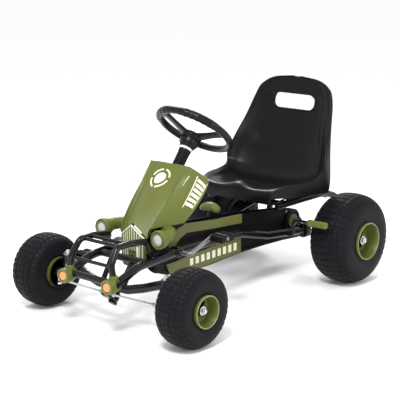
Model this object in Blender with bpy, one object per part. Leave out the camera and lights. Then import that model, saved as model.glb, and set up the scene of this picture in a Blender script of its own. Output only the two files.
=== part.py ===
"""A child's pedal go kart, as an assembly of separate parts.

Metres, +Z up. The kart faces -Y and its left side is at +X. The origin is on the ground,
under the middle of the kart. Every part is its own object, named after what it is.
"""

import math

import bmesh
import bpy
from mathutils import Matrix, Vector

# ---------------------------------------------------------------- driving dimensions
GAP = 0.0003  # between parts that touch or are welded together

FRONT_AXLE_Y = -0.381
REAR_AXLE_Y = 0.364
KINGPIN_X = 0.188
FRONT_WHEEL = {"x": 0.275, "radius": 0.105, "width": 0.104, "section": 0.037, "rim": 0.0438}
REAR_WHEEL = {"x": 0.250, "radius": 0.136, "width": 0.137, "section": 0.055, "rim": 0.0560}
TYRE_SQUARENESS = 2.6  # exponent of the tyre's superellipse section
RIM_PROUD = 0.004  # how far a rim's lip stands out of its tyre
AXLE_RADIUS = 0.0075

RAIL_X = 0.090
RAIL_RADIUS = 0.012
SEAT_RAIL_X = 0.130
SEAT_RAIL_RADIUS = 0.010
CROSS_TUBE = (-0.352, 0.183)  # y, z
CROSS_TUBE_RADIUS = 0.010
BEAM_POST_X = 0.040

COLUMN_LEAN = math.radians(38.5)
COLUMN_FOOT = Vector((0.0, -0.3835, 0.080))
COLUMN_AXIS = Vector((0.0, math.sin(COLUMN_LEAN), math.cos(COLUMN_LEAN)))
COLUMN_FORWARD = Vector((0.0, -math.cos(COLUMN_LEAN), math.sin(COLUMN_LEAN)))
COLUMN_RADIUS = 0.017
SHAFT_RADIUS = 0.007
WHEEL_HEIGHT = 0.530  # along the column, from its foot to the steering wheel's plane
STEERING_WHEEL_RADIUS = 0.119
STEERING_GRIP_RADIUS = 0.0115
STEERING_ARM = 0.034  # of the pitman arm and of each knuckle arm
TIE_ROD_HEIGHT = -0.006  # along the column, from its foot

CRANK_Y, CRANK_Z = -0.234, 0.190
CRANK_THROW = 0.100
CRANK_PHASE = math.radians(21)  # left pedal's angle above the horizontal, behind the axis
CRANK_RADIUS = 0.006
CRANK_ARM_X = (0.138, 0.142)  # at the axis, at the pedal
PEDAL_X = (0.152, 0.1965)

CHAIN_X = 0.046
CHAIN_WIDTH = 0.008
CHAIN_RING_RADIUS = 0.0500
SPROCKET_RADIUS = 0.0185
GUARD_X = (0.034, 0.060)
GUARD_FRONT_RADIUS = 0.072
GUARD_WALL = 0.002
GUARD_TOP = (  # (y, z), front to rear, after the front arc
    (-0.170, 0.2540), (-0.100, 0.2470), (0.080, 0.2350), (0.195, 0.2210), (0.270, 0.2125),
    (0.315, 0.2105), (0.346, 0.1950), (0.374, 0.1700), (0.3915, 0.1530), (0.3970, 0.1360),
    (0.3920, 0.1180), (0.3800, 0.1065), (0.3640, 0.1030),
)
GUARD_BOTTOM = (  # (y, z), rear to front
    (0.290, 0.1085), (0.196, 0.1120), (0.077, 0.1130), (-0.050, 0.1060), (-0.190, 0.1060),
)

GUARD_CAP = Vector((0.0, 0.333, 0.165))

BUMPER_Y = -0.472
LAMP_X, LAMP_Z = 0.083, 0.148
HEADLIGHT = Vector((0.106, -0.328, 0.244))

SIDES = (("left", 1), ("right", -1))


# ---------------------------------------------------------------- materials
def material(name, colour, roughness, metallic=0.0):
    made = bpy.data.materials.new(name)
    made.use_nodes = True
    shader = made.node_tree.nodes["Principled BSDF"]
    shader.inputs["Base Color"].default_value = (*colour, 1.0)
    shader.inputs["Roughness"].default_value = roughness
    shader.inputs["Metallic"].default_value = metallic
    made.diffuse_color = (*colour, 1.0)
    return made


for old in list(bpy.data.objects):
    bpy.data.objects.remove(old)

GREEN = material("olive_plastic", (0.20, 0.26, 0.065), 0.45)
DARK_GREEN = material("dark_olive_plastic", (0.10, 0.13, 0.03), 0.5)
FRAME = material("black_powder_coat", (0.012, 0.012, 0.013), 0.3)
BLACK = material("black_plastic", (0.018, 0.018, 0.020), 0.45)
TYRE = material("tyre_rubber", (0.020, 0.020, 0.022), 0.8)
ZINC = material("zinc_plate", (0.62, 0.62, 0.64), 0.3, 1.0)
WHITE = material("white_plastic", (0.75, 0.75, 0.77), 0.4)
CLEAR = material("headlight_lens", (0.78, 0.80, 0.82), 0.15)
AMBER = material("amber_lens", (0.88, 0.30, 0.06), 0.2)
STEEL = material("dark_steel", (0.25, 0.25, 0.26), 0.4, 1.0)


# ---------------------------------------------------------------- shape tools
def finish(name, mesh_data, paint, sharp=35):
    """Turns a bmesh into a named, smooth-shaded object."""
    bmesh.ops.recalc_face_normals(mesh_data, faces=mesh_data.faces)
    mesh = bpy.data.meshes.new(name)
    mesh_data.to_mesh(mesh)
    mesh_data.free()
    mesh.materials.append(paint)
    mesh.shade_smooth()
    mesh.set_sharp_from_angle(angle=math.radians(sharp))
    made = bpy.data.objects.new(name, mesh)
    bpy.context.scene.collection.objects.link(made)
    return made


def skin(name, rings, paint, wrap=False):
    """A closed surface through rings of points: capped at both ends, or joined round."""
    data = bmesh.new()
    rows = [[data.verts.new(point) for point in ring] for ring in rings]
    pairs = list(zip(rows, rows[1:] + rows[:1])) if wrap else list(zip(rows, rows[1:]))
    for near, far in pairs:
        for i in range(len(near)):
            j = (i + 1) % len(near)
            data.faces.new((near[i], near[j], far[j], far[i]))
    if not wrap:
        data.faces.new(rows[0])
        data.faces.new(rows[-1])
    return finish(name, data, paint)


def frame_about(axis):
    """Two unit vectors square to an axis and to each other."""
    axis = axis.normalized()
    helper = Vector((0, 0, 1)) if abs(axis.z) < 0.9 else Vector((0, 1, 0))
    across = helper.cross(axis).normalized()
    return across, axis.cross(across)


def circle(centre, axis, radius, sides):
    across, up = frame_about(axis)
    turn = [2 * math.pi * i / sides for i in range(sides)]
    return [centre + radius * (math.cos(a) * across + math.sin(a) * up) for a in turn]


def turned(name, profile, centre, axis, paint, segments=32):
    """A closed profile of (along, radius) points, turned about an axis that it doesn't touch."""
    across, up = frame_about(axis)
    axis = axis.normalized()
    rings = []
    for i in range(segments):
        angle = 2 * math.pi * i / segments
        out = math.cos(angle) * across + math.sin(angle) * up
        rings.append([centre + along * axis + radius * out for along, radius in profile])
    return skin(name, rings, paint, wrap=True)


def stack(name, profile, centre, axis, paint, sides=24):
    """A solid turned piece: circles of (along, radius) on an axis, capped at both ends."""
    axis = axis.normalized()
    rings = [circle(centre + along * axis, axis, radius, sides) for along, radius in profile]
    return skin(name, rings, paint)


def rounded_path(corners, bend, steps=4):
    """The corners joined by straight runs, each inner corner rounded to an arc."""
    points = [corners[0]]
    for before, corner, after in zip(corners, corners[1:], corners[2:]):
        back, ahead = before - corner, after - corner
        half = back.angle(ahead) / 2
        if abs(half - math.pi / 2) < 0.01:
            points.append(corner)
            continue
        reach = min(bend / math.tan(half), 0.48 * back.length, 0.48 * ahead.length)
        radius = reach * math.tan(half)
        middle = (back.normalized() + ahead.normalized()).normalized()
        centre = corner + middle * (radius / math.sin(half))
        start = corner + back.normalized() * reach - centre
        end = corner + ahead.normalized() * reach - centre
        for i in range(steps + 1):
            points.append(centre + start.slerp(end, i / steps).normalized() * radius)
    points.append(corners[-1])
    return points


def tube(name, corners, radius, paint, bend=0.03, sides=10, steps=4):
    """A round tube along rounded corners. Each point may carry its own radius."""
    points = rounded_path([Vector(corner) for corner in corners], bend, steps)
    direction = (points[1] - points[0]).normalized()
    across, up = frame_about(direction)
    rings = []
    for i, point in enumerate(points):
        before = points[max(i - 1, 0)]
        after = points[min(i + 1, len(points) - 1)]
        heading = (after - before).normalized()
        twist = direction.rotation_difference(heading)
        across, up, direction = twist @ across, twist @ up, heading
        turn = [2 * math.pi * k / sides for k in range(sides)]
        rings.append([point + radius * (math.cos(a) * across + math.sin(a) * up) for a in turn])
    return skin(name, rings, paint)


def rod(name, start, end, radius, paint, sides=16):
    start, end = Vector(start), Vector(end)
    rings = [circle(point, end - start, radius, sides) for point in (start, end)]
    return skin(name, rings, paint)


def box(name, low, high, paint):
    data = bmesh.new()
    bmesh.ops.create_cube(data, size=1.0)
    low, high = Vector(low), Vector(high)
    size = high - low
    bmesh.ops.scale(data, vec=size, verts=data.verts)
    bmesh.ops.translate(data, vec=(low + high) / 2, verts=data.verts)
    return finish(name, data, paint)


def plate(name, outline, x_from, x_to, paint):
    """A flat plate square to X, from an outline of (y, z) points."""
    rings = [[Vector((x, y, z)) for y, z in outline] for x in (x_from, x_to)]
    return skin(name, rings, paint)


def hide(cutter):
    cutter.hide_render = True
    cutter.display_type = "WIRE"


def combine(target, others, operation):
    """Adds a Boolean to the target for each other object, and hides those objects."""
    for other in others:
        change = target.modifiers.new(other.name, "BOOLEAN")
        change.operation = operation
        change.object = other
        hide(other)
    return target


def cut(target, *cutters):
    return combine(target, cutters, "DIFFERENCE")


def unite(target, *others):
    return combine(target, others, "UNION")


def mirrored(point, side):
    return Vector((point[0] * side, point[1], point[2]))


def on_column(along, forward=0.0, sideways=0.0):
    """A point given by its place along the steering column and off it."""
    return COLUMN_FOOT + along * COLUMN_AXIS + forward * COLUMN_FORWARD + Vector((sideways, 0, 0))


X_AXIS = Vector((1, 0, 0))
Y_AXIS = Vector((0, 1, 0))
Z_AXIS = Vector((0, 0, 1))


# ---------------------------------------------------------------- wheels
def tyre_profile(wheel, steps=9):
    """The tyre's section from bead to bead over the tread, as (along, radius)."""
    half_height = wheel["section"]
    middle = wheel["radius"] - half_height
    bore = wheel["rim"] + GAP
    power = 2 / TYRE_SQUARENESS
    dip = math.asin(((middle - bore) / half_height) ** (1 / power))
    profile = []
    for i in range(steps):
        angle = -dip + (math.pi + 2 * dip) * i / (steps - 1)
        sideways, outwards = math.cos(angle), math.sin(angle)
        along = wheel["width"] / 2 * math.copysign(abs(sideways) ** power, sideways)
        radius = middle + half_height * math.copysign(abs(outwards) ** power, outwards)
        profile.append((along, radius))
    return profile


def rim_profile(wheel, bore, hub_out):
    """A deep-dished rim: barrel, web and hub in one closed section."""
    lip = wheel["width"] / 2 + RIM_PROUD
    barrel = wheel["rim"]
    wall = 0.0035
    web = 0.40 * lip
    hub = 0.0140
    return [
        (-lip, barrel), (lip, barrel), (lip, barrel - wall), (web, barrel - 2 * wall),
        (web, hub), (hub_out, hub), (hub_out, bore), (-0.8 * lip, bore),
        (web - 0.006, hub + 0.002), (web - 0.006, barrel - 2 * wall), (-lip, barrel - wall),
    ]


def wheel(prefix, side, sizes, y, bore, hub_out):
    centre = Vector((side * sizes["x"], y, sizes["radius"]))
    outwards = X_AXIS * side
    turned(f"{prefix}_tyre", tyre_profile(sizes), centre, outwards, TYRE, 24)
    turned(f"{prefix}_rim", rim_profile(sizes, bore, hub_out), centre, outwards, GREEN, 24)


def make_wheels():
    for word, side in SIDES:
        wheel(f"{word}_front", side, FRONT_WHEEL, FRONT_AXLE_Y, AXLE_RADIUS + 0.001, 0.036)
        wheel(f"{word}_rear", side, REAR_WHEEL, REAR_AXLE_Y, AXLE_RADIUS + GAP, 0.050)


# ---------------------------------------------------------------- rear axle and chain drive
def make_rear_axle():
    centre = Vector((0, REAR_AXLE_Y, REAR_WHEEL["radius"]))
    nut_start = REAR_WHEEL["x"] + 0.0503
    nut_end, end = nut_start + 0.008, nut_start + 0.011
    nut = 0.0115
    half = [(nut_start, AXLE_RADIUS), (nut_start + 0.0001, nut), (nut_end, nut)]
    half += [(nut_end + 0.0001, AXLE_RADIUS), (end, AXLE_RADIUS - 0.001)]
    profile = [(-along, radius) for along, radius in reversed(half)] + half
    stack("rear_axle", profile, centre, X_AXIS, ZINC, 16)
    low, high = CHAIN_X - 0.002, CHAIN_X + 0.002
    bore = AXLE_RADIUS + GAP
    profile = [
        (low, SPROCKET_RADIUS), (high, SPROCKET_RADIUS), (high, 0.014), (high + 0.007, 0.014),
        (high + 0.007, bore), (low, bore),
    ]
    turned("rear_sprocket", profile, centre, X_AXIS, STEEL, 16)
    bracket_out = RAIL_X + RAIL_RADIUS
    for word, side in SIDES:
        low = (side * (bracket_out if side < 0 else 0.080), REAR_AXLE_Y - 0.027, 0.113)
        high = (side * (bracket_out if side > 0 else 0.080), REAR_AXLE_Y + 0.027, 0.160)
        low, high = (min(a, b) for a, b in zip(low, high)), (max(a, b) for a, b in zip(low, high))
        bracket = box(f"{word}_axle_bracket", tuple(low), tuple(high), FRAME)
        edge = bracket.modifiers.new("rounding", "BEVEL")
        edge.width = 0.006
        edge.segments = 1
        hole = rod(
            f"{word}_bearing_cutter", centre + X_AXIS * side * 0.07,
            centre + X_AXIS * side * 0.12, AXLE_RADIUS + 0.0008, FRAME, 20,
        )
        cut(bracket, hole)


def belt_outline(front_radius, rear_radius, rear=(REAR_AXLE_Y, REAR_WHEEL["radius"]), steps=9):
    """Two arcs about the crank and a rear centre, joined by their common tangents: (y, z)."""
    front = Vector((CRANK_Y, CRANK_Z))
    back = Vector(rear)
    apart = back - front
    heading = math.atan2(apart.y, apart.x)
    lean = math.acos((front_radius - rear_radius) / apart.length)
    outline = []
    for i in range(steps):
        angle = heading + lean + (2 * math.pi - 2 * lean) * i / (steps - 1)
        outline.append(front + front_radius * Vector((math.cos(angle), math.sin(angle))))
    for i in range(steps):
        angle = heading - lean + 2 * lean * i / (steps - 1)
        outline.append(back + rear_radius * Vector((math.cos(angle), math.sin(angle))))
    return [(point.x, point.y) for point in outline]


def guard_outline(inset=0.0):
    """The guard's outline, or the same outline moved inwards: (y, z)."""
    arc = [math.radians(degrees) for degrees in range(247, 69, -16)]
    outline = [Vector((CRANK_Y, CRANK_Z)) + GUARD_FRONT_RADIUS * Vector((math.cos(a), math.sin(a)))
               for a in arc]
    outline += [Vector(point) for point in GUARD_TOP + GUARD_BOTTOM]
    moved = []
    for before, point, after in zip(outline[-1:] + outline, outline, outline[1:] + outline[:1]):
        into, out_of = (point - before).normalized(), (after - point).normalized()
        normals = Vector((into.y, -into.x)), Vector((out_of.y, -out_of.x))
        middle = (normals[0] + normals[1]).normalized()
        moved.append(point + middle * inset / middle.dot(normals[0]))
    return [(point.x, point.y) for point in moved]


def axle_cutters(prefix, x_from, x_to, radius):
    crank = rod(f"{prefix}_crank_cutter", (x_from, CRANK_Y, CRANK_Z), (x_to, CRANK_Y, CRANK_Z),
                radius, FRAME, 20)
    y, z = REAR_AXLE_Y, REAR_WHEEL["radius"]
    axle = rod(f"{prefix}_axle_cutter", (x_from, y, z), (x_to, y, z), radius, FRAME, 20)
    return crank, axle


def make_chain_drive():
    inner = belt_outline(CHAIN_RING_RADIUS + 0.0022, SPROCKET_RADIUS + 0.0010)
    outer = belt_outline(CHAIN_RING_RADIUS + 0.007, SPROCKET_RADIUS + 0.007)
    x_low, x_high = CHAIN_X - CHAIN_WIDTH / 2, CHAIN_X + CHAIN_WIDTH / 2
    rings = []
    for near, far in zip(inner, outer):
        rings.append([
            Vector((x_low, *near)), Vector((x_high, *near)),
            Vector((x_high, *far)), Vector((x_low, *far)),
        ])
    skin("drive_chain", rings, STEEL, wrap=True)

    outline, hollow = guard_outline(), guard_outline(GUARD_WALL)
    cover = plate("chain_guard_cover", outline, *GUARD_X, BLACK)
    pocket = plate("guard_pocket_cutter", hollow, GUARD_X[0] - 0.01, GUARD_X[1] - GUARD_WALL, BLACK)
    cut(cover, pocket, *axle_cutters("cover", GUARD_X[0] - 0.01, GUARD_X[1] + 0.01, 0.0115))
    back_to = GUARD_X[0] - GAP
    back = plate("chain_guard_back", outline, back_to - GUARD_WALL, back_to, BLACK)
    cut(back, *axle_cutters("back", back_to - 0.01, back_to + 0.01, 0.0115))
    cap = [(GUARD_X[1] + GAP, 0.0205), (GUARD_X[1] + 0.004, 0.0205), (GUARD_X[1] + 0.006, 0.018)]
    stack("guard_cap", cap, GUARD_CAP, X_AXIS, GREEN, 24)


def make_crank():
    """The bent crankshaft, its chain ring and the two pedals."""
    throw = CRANK_THROW * Vector((0, math.cos(CRANK_PHASE), math.sin(CRANK_PHASE)))
    axis = Vector((0, CRANK_Y, CRANK_Z))
    left, right = axis + throw, axis - throw
    arm_in, arm_out = CRANK_ARM_X
    tip = PEDAL_X[1] + 0.0005
    corners = [
        right - X_AXIS * tip, right - X_AXIS * arm_out, axis - X_AXIS * arm_in,
        axis + X_AXIS * arm_in, left + X_AXIS * arm_out, left + X_AXIS * tip,
    ]
    tube("crankshaft", corners, CRANK_RADIUS, ZINC, bend=0.009, sides=10, steps=3)
    low, high = CHAIN_X - 0.002, CHAIN_X + 0.002
    bore = CRANK_RADIUS + GAP
    profile = [
        (low, CHAIN_RING_RADIUS), (high, CHAIN_RING_RADIUS), (high, 0.013), (high + 0.007, 0.013),
        (high + 0.007, bore), (low, bore),
    ]
    turned("chain_ring", profile, axis, X_AXIS, STEEL, 24)
    for (word, side), spindle in zip(SIDES, (left, right)):
        x_from, x_to = sorted((side * PEDAL_X[0], side * PEDAL_X[1]))
        low = (x_from, spindle.y - 0.026, spindle.z - 0.0115)
        high = (x_to, spindle.y + 0.026, spindle.z + 0.0115)
        pedal = box(f"{word}_pedal", low, high, BLACK)
        edge = pedal.modifiers.new("rounding", "BEVEL")
        edge.width = 0.004
        edge.segments = 1
        hole = rod(f"{word}_pedal_cutter", (x_from - 0.01, spindle.y, spindle.z),
                   (x_to + 0.01, spindle.y, spindle.z), CRANK_RADIUS + 0.0008, BLACK, 16)
        cut(pedal, hole)


# ---------------------------------------------------------------- frame
def make_frame():
    for word, side in SIDES:
        corners = [
            (0.090, BUMPER_Y + 0.0135, 0.155), (0.090, -0.385, 0.181), (0.090, CRANK_Y, CRANK_Z),
            (0.090, 0.035, 0.187), (0.090, 0.170, 0.155), (0.090, REAR_AXLE_Y - 0.0290, 0.137),
        ]
        rail = tube(f"{word}_side_rail", [mirrored(corner, side) for corner in corners],
                    RAIL_RADIUS, FRAME, bend=0.10, sides=10, steps=3)
        hole = rod(f"{word}_crank_bush_cutter", (side * 0.06, CRANK_Y, CRANK_Z),
                   (side * 0.12, CRANK_Y, CRANK_Z), CRANK_RADIUS + 0.0008, FRAME, 14)
        if side > 0:
            studs = [rod(f"guard_stud_part_{number}", (GUARD_X[1] + GAP, y, z), (0.088, y, z), 0.006,
                         FRAME, 10)
                     for number, (y, z) in enumerate(((-0.060, 0.1895), (0.130, 0.1640)))]
            unite(rail, *studs)
        cut(rail, hole)
        corners = [
            (SEAT_RAIL_X, 0.162, 0.2505), (SEAT_RAIL_X, 0.405, 0.2505), (SEAT_RAIL_X, 0.458, 0.232),
            (SEAT_RAIL_X, 0.478, 0.200),
            (0.108, REAR_AXLE_Y + 0.062, 0.136), (0.095, REAR_AXLE_Y + 0.0310, 0.136),
        ]
        tube(f"{word}_seat_rail", [mirrored(corner, side) for corner in corners],
             SEAT_RAIL_RADIUS, FRAME, bend=0.025, sides=10, steps=3)
    inner = RAIL_X - RAIL_RADIUS - GAP
    rod("front_cross_tube", (-inner, *CROSS_TUBE), (inner, *CROSS_TUBE), CROSS_TUBE_RADIUS, FRAME, 12)
    corners = [(-0.0735, -0.178, 0.190), (0, -0.150, 0.192), (0, -0.040, 0.196),
               (0, 0.100, 0.219), (0, 0.2127, 0.2405)]
    beam = tube("centre_beam", corners, 0.011, FRAME, bend=0.045, sides=12, steps=3)
    strut = rod("column_strut_part", on_column(0.250, -COLUMN_RADIUS - GAP),
                on_column(0.250, -0.122), 0.009, FRAME, 10)
    unite(beam, strut)
    inner = SEAT_RAIL_X - SEAT_RAIL_RADIUS - GAP
    rod("seat_front_cross_bar", (-inner, 0.222, 0.244), (inner, 0.222, 0.244), 0.009, FRAME, 12)
    rod("seat_rear_cross_bar", (-inner, 0.430, 0.237), (inner, 0.430, 0.237), 0.009, FRAME, 12)


def make_front_beam():
    """The gull-shaped axle beam, with a bored kingpin housing welded to each end."""
    corners = [
        (-0.182, FRONT_AXLE_Y, 0.150), (-0.110, FRONT_AXLE_Y - 0.007, 0.126),
        (-0.055, FRONT_AXLE_Y - 0.0115, 0.112), (0.055, FRONT_AXLE_Y - 0.0115, 0.112),
        (0.110, FRONT_AXLE_Y - 0.007, 0.126), (0.182, FRONT_AXLE_Y, 0.150),
    ]
    beam = tube("front_axle_beam", corners, 0.0125, FRAME, bend=0.06, sides=10, steps=3)
    collar = rod("column_foot_part", on_column(0.018), on_column(0.056), 0.0150, FRAME, 14)
    unite(beam, collar)
    for word, side in SIDES:
        x = side * KINGPIN_X
        housing = rod(f"{word}_housing", (x, FRONT_AXLE_Y, 0.1300), (x, FRONT_AXLE_Y, 0.1645),
                      0.0145, FRAME, 14)
        foot = Vector((side * BEAM_POST_X, FRONT_AXLE_Y - 0.0105, 0.118))
        rise = mirrored((BEAM_POST_X, *CROSS_TUBE), side) - foot
        top = foot + rise.normalized() * (rise.length - CROSS_TUBE_RADIUS - 0.0004)
        post = rod(f"{word}_post_part", foot, top, 0.0075, FRAME, 10)
        unite(beam, housing, post)
    for word, side in SIDES:
        x = side * KINGPIN_X
        bore = rod(f"{word}_kingpin_cutter", (x, FRONT_AXLE_Y, 0.10), (x, FRONT_AXLE_Y, 0.20),
                   0.0073, FRAME, 14)
        cut(beam, bore)
    cut(beam, rod("column_foot_cutter", on_column(-0.01), on_column(0.09), SHAFT_RADIUS + 0.001,
                  FRAME, 16))


def make_bumper():
    for word, side in SIDES:
        corners = [
            (0.0860, -0.335, 0.2075), (0.0690, -0.330, 0.2360), (0.0700, -0.400, 0.2435),
            (0.0705, -0.4430, 0.2420), (0.0760, BUMPER_Y, 0.2000), (LAMP_X, BUMPER_Y, 0.1642),
        ]
        tube(f"{word}_bumper_hoop", [mirrored(corner, side) for corner in corners],
             0.009, FRAME, bend=0.022, sides=10, steps=3)
    rod("bumper_lower_bar", (-0.104, BUMPER_Y, 0.1525), (0.104, BUMPER_Y, 0.1525), 0.0098, FRAME, 14)
    bars = ((-0.4045, 0.2435, 0.0608), (-0.4300, 0.2410, 0.0610), (-0.4690, 0.1960, 0.0670))
    for number, (y, z, reach) in enumerate(bars, 1):
        rod(f"bumper_bar_{number}", (-reach, y, z), (reach, y, z), 0.005, FRAME, 10)


def lamp_cup(name, centre, radius, depth, lens_radius, paint):
    """A cup that opens forwards, with a recess for its lens."""
    rings = [
        (-depth, 0.55 * radius), (-0.6 * depth, 0.95 * radius), (-0.004, radius),
        (0.0, 0.94 * radius), (0.0, lens_radius + GAP), (-0.005, lens_radius + GAP),
    ]
    return stack(name, rings, centre, -Y_AXIS, paint, 16)


def lens(name, centre, radius, paint):
    rings = [(-0.0047, radius), (-0.001, radius), (0.001, 0.72 * radius)]
    stack(name, rings, centre, -Y_AXIS, paint, 16)


def make_lamps():
    for word, side in SIDES:
        place = Vector((side * LAMP_X, -0.4990, LAMP_Z))
        lamp_cup(f"{word}_marker_lamp", place, 0.0195, 0.0169, 0.0125, GREEN)
        lens(f"{word}_marker_lens", place, 0.0125, AMBER)
        place = mirrored(HEADLIGHT, side)
        pod = lamp_cup(f"{word}_headlight", place, 0.0260, 0.0340, 0.0145, GREEN)
        arm = tube(
            f"{word}_headlight_arm",
            [mirrored(p, side) for p in ((0.106, -0.305, 0.246), (0.105, -0.275, 0.2485),
                                         (0.092, -0.2545, 0.2490), (0.0640, -0.2500, 0.2490))],
            0.0135, GREEN, bend=0.02, sides=10, steps=3,
        )
        unite(pod, arm)
        lens(f"{word}_headlight_lens", place, 0.0145, CLEAR)


# ---------------------------------------------------------------- hood
HOOD_FRONT = (  # lower edge of the right half, from the ridge to the rear corner
    (0.0, -0.3105, 0.272), (0.025, -0.3100, 0.254), (0.0475, -0.3070, 0.2350),
    (0.0550, -0.3010, 0.2620), (0.0750, -0.2440, 0.2635), (0.0830, -0.2090, 0.2635),
    (0.0860, -0.1960, 0.2635),
)
HOOD_TOP = (  # upper edge, point for point
    (0.0, -0.1560, 0.4140), (0.0280, -0.1570, 0.4145), (0.0500, -0.1570, 0.4140),
    (0.0640, -0.1560, 0.4130), (0.0765, -0.1520, 0.4090), (0.0885, -0.1040, 0.3730),
    (0.0905, -0.1010, 0.3540),
)


def make_hood():
    """A shell over the steering column: a pointed nose that widens to a flat, upright top."""
    rows = 6
    wall = 0.003
    rings = []
    for i in range(rows + 1):
        up = i / rows
        crown = 0.006 * math.sin(math.pi * up)
        half = []
        for low, high in zip(HOOD_FRONT, HOOD_TOP):
            point = Vector(low).lerp(Vector(high), up)
            inwards = Vector((point.x, point.y + 0.20, 0.0))
            half.append(point + inwards.normalized() * crown)
        full = [Vector((-p.x, p.y, p.z)) for p in reversed(half[1:])] + half
        rings.append(full)
    data = bmesh.new()
    grid = [[data.verts.new(point) for point in ring] for ring in rings]
    for low, high in zip(grid, grid[1:]):
        for j in range(len(low) - 1):
            data.faces.new((low[j], low[j + 1], high[j + 1], high[j]))
    hood = finish("hood", data, GREEN, 50)
    shell = hood.modifiers.new("wall", "SOLIDIFY")
    shell.thickness = wall
    shell.offset = -1 if hood.data.polygons[0].normal.y < 0 else 1
    shell.use_even_offset = False

    outline = [
        (-0.0455, 0.2345), (0.0, 0.2688), (0.0455, 0.2345), (0.0430, 0.1560), (0.0340, 0.1480),
        (-0.0340, 0.1480), (-0.0430, 0.1560),
    ]
    rings = []
    for y in (-0.3105, -0.3070):
        rings.append([Vector((x, y - 0.006 + 0.006 * (x / 0.0455) ** 2, z)) for x, z in outline])
    grille = skin("grille", rings, DARK_GREEN)
    notch = box("grille_notch_cutter", (-0.0100, -0.33, 0.140), (0.0100, -0.29, 0.1960), GREEN)
    cut(grille, notch)


# ---------------------------------------------------------------- steering
def make_steering():
    bore = SHAFT_RADIUS + 0.0015
    profile = [(0.215, COLUMN_RADIUS), (0.462, COLUMN_RADIUS), (0.462, bore), (0.215, bore)]
    turned("steering_column_tube", profile, COLUMN_FOOT, COLUMN_AXIS, BLACK, 16)
    profile = [(0.462 + GAP, 0.0195), (0.4690, 0.0195), (0.4690, bore), (0.462 + GAP, bore)]
    turned("column_collar", profile, COLUMN_FOOT, COLUMN_AXIS, WHITE, 16)

    shaft = rod("steering_shaft", on_column(-0.016), on_column(0.500), SHAFT_RADIUS, ZINC, 16)
    reach = STEERING_ARM + 0.008
    corners = [(-0.010, 0.0), (0.010, 0.0), (0.0160, reach), (-0.0160, reach)]
    low, high = -0.0150, -0.0100
    rings = [[on_column(s, f, x) for x, f in corners] for s in (low, high)]
    unite(shaft, skin("pitman_arm_part", rings, ZINC))

    profile = [
        (0.4695, SHAFT_RADIUS + GAP), (0.4695, 0.0215), (0.478, 0.0255), (0.5000, 0.0285),
        (0.5090, 0.0300), (0.5150, 0.0270), (0.5190, 0.0110), (0.5190, 0.0040),
        (0.5010, 0.0040), (0.5010, SHAFT_RADIUS + GAP),
    ]
    wheel_object = turned("steering_wheel", profile, COLUMN_FOOT, COLUMN_AXIS, BLACK, 16)
    ring_radius = STEERING_WHEEL_RADIUS - STEERING_GRIP_RADIUS
    section = []
    for i in range(8):
        angle = 2 * math.pi * i / 8
        section.append((WHEEL_HEIGHT + STEERING_GRIP_RADIUS * math.sin(angle),
                        ring_radius + STEERING_GRIP_RADIUS * math.cos(angle)))
    rim = turned("steering_rim_part", section, COLUMN_FOOT, COLUMN_AXIS, BLACK, 28)
    spokes = []
    for number in range(3):
        angle = math.radians(120 * number)
        out = math.cos(angle) * X_AXIS - math.sin(angle) * COLUMN_FORWARD
        across = COLUMN_AXIS.cross(out)
        rings = []
        for distance, height, width in ((0.020, 0.508, 0.014), (0.065, 0.5185, 0.0105),
                                        (0.1075, 0.5285, 0.0125)):
            middle = on_column(height) + distance * out
            rings.append([
                middle + w * across + t * COLUMN_AXIS
                for w, t in ((-width, -0.004), (width, -0.004), (width, 0.004), (-width, 0.004))
            ])
        spokes.append(skin(f"spoke_{number}_part", rings, BLACK))
    unite(wheel_object, *spokes, rim)


def make_knuckles():
    """Kingpin, stub axle and steering arm in one forging on each side."""
    for word, side in SIDES:
        pin = Vector((side * KINGPIN_X, FRONT_AXLE_Y, 0.0))
        height = FRONT_WHEEL["radius"]
        profile = [
            (0.0860, 0.0110), (0.0880, 0.0140), (0.1270, 0.0140), (0.1290, 0.0120),
            (0.1291, 0.0065), (0.1655, 0.0065), (0.1656, 0.0100), (0.1730, 0.0100),
            (0.1760, 0.0065),
        ]
        knuckle = stack(f"{word}_knuckle", profile, pin, Z_AXIS, ZINC, 14)
        nut = FRONT_WHEEL["x"] + 0.0370
        profile = [
            (0.191, AXLE_RADIUS), (nut, AXLE_RADIUS), (nut + 0.0001, 0.0110),
            (nut + 0.0080, 0.0110), (nut + 0.0081, AXLE_RADIUS), (nut + 0.0110, 0.0065),
        ]
        stub = stack(f"{word}_stub_part", profile, Vector((0, FRONT_AXLE_Y, height)),
                     X_AXIS * side, ZINC, 14)
        tip = FRONT_AXLE_Y - STEERING_ARM - 0.006
        arm = box(f"{word}_steering_arm_part", (pin.x - 0.0065, tip, 0.0830 + 0.0035),
                  (pin.x + 0.0065, FRONT_AXLE_Y - 0.004, 0.0915), ZINC)
        unite(knuckle, stub, arm)


def make_tie_rods():
    """A rod from the pitman arm to each knuckle arm, with an eye at both ends."""
    inner = on_column(TIE_ROD_HEIGHT, STEERING_ARM)
    for word, side in SIDES:
        start = inner + X_AXIS * side * 0.0075
        end = Vector((side * KINGPIN_X, inner.y, inner.z + 0.0030))
        body = rod(f"{word}_tie_rod", start + X_AXIS * side * 0.003, end - X_AXIS * side * 0.003,
                   0.0032, ZINC, 12)
        eye = rod(f"{word}_inner_eye_part", start - COLUMN_AXIS * 0.0036,
                  start + COLUMN_AXIS * 0.0036, 0.0060, ZINC, 14)
        outer = rod(f"{word}_outer_eye_part", end - Z_AXIS * 0.0040, end + Z_AXIS * 0.0040,
                    0.0070, ZINC, 14)
        unite(body, eye, outer)


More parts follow.
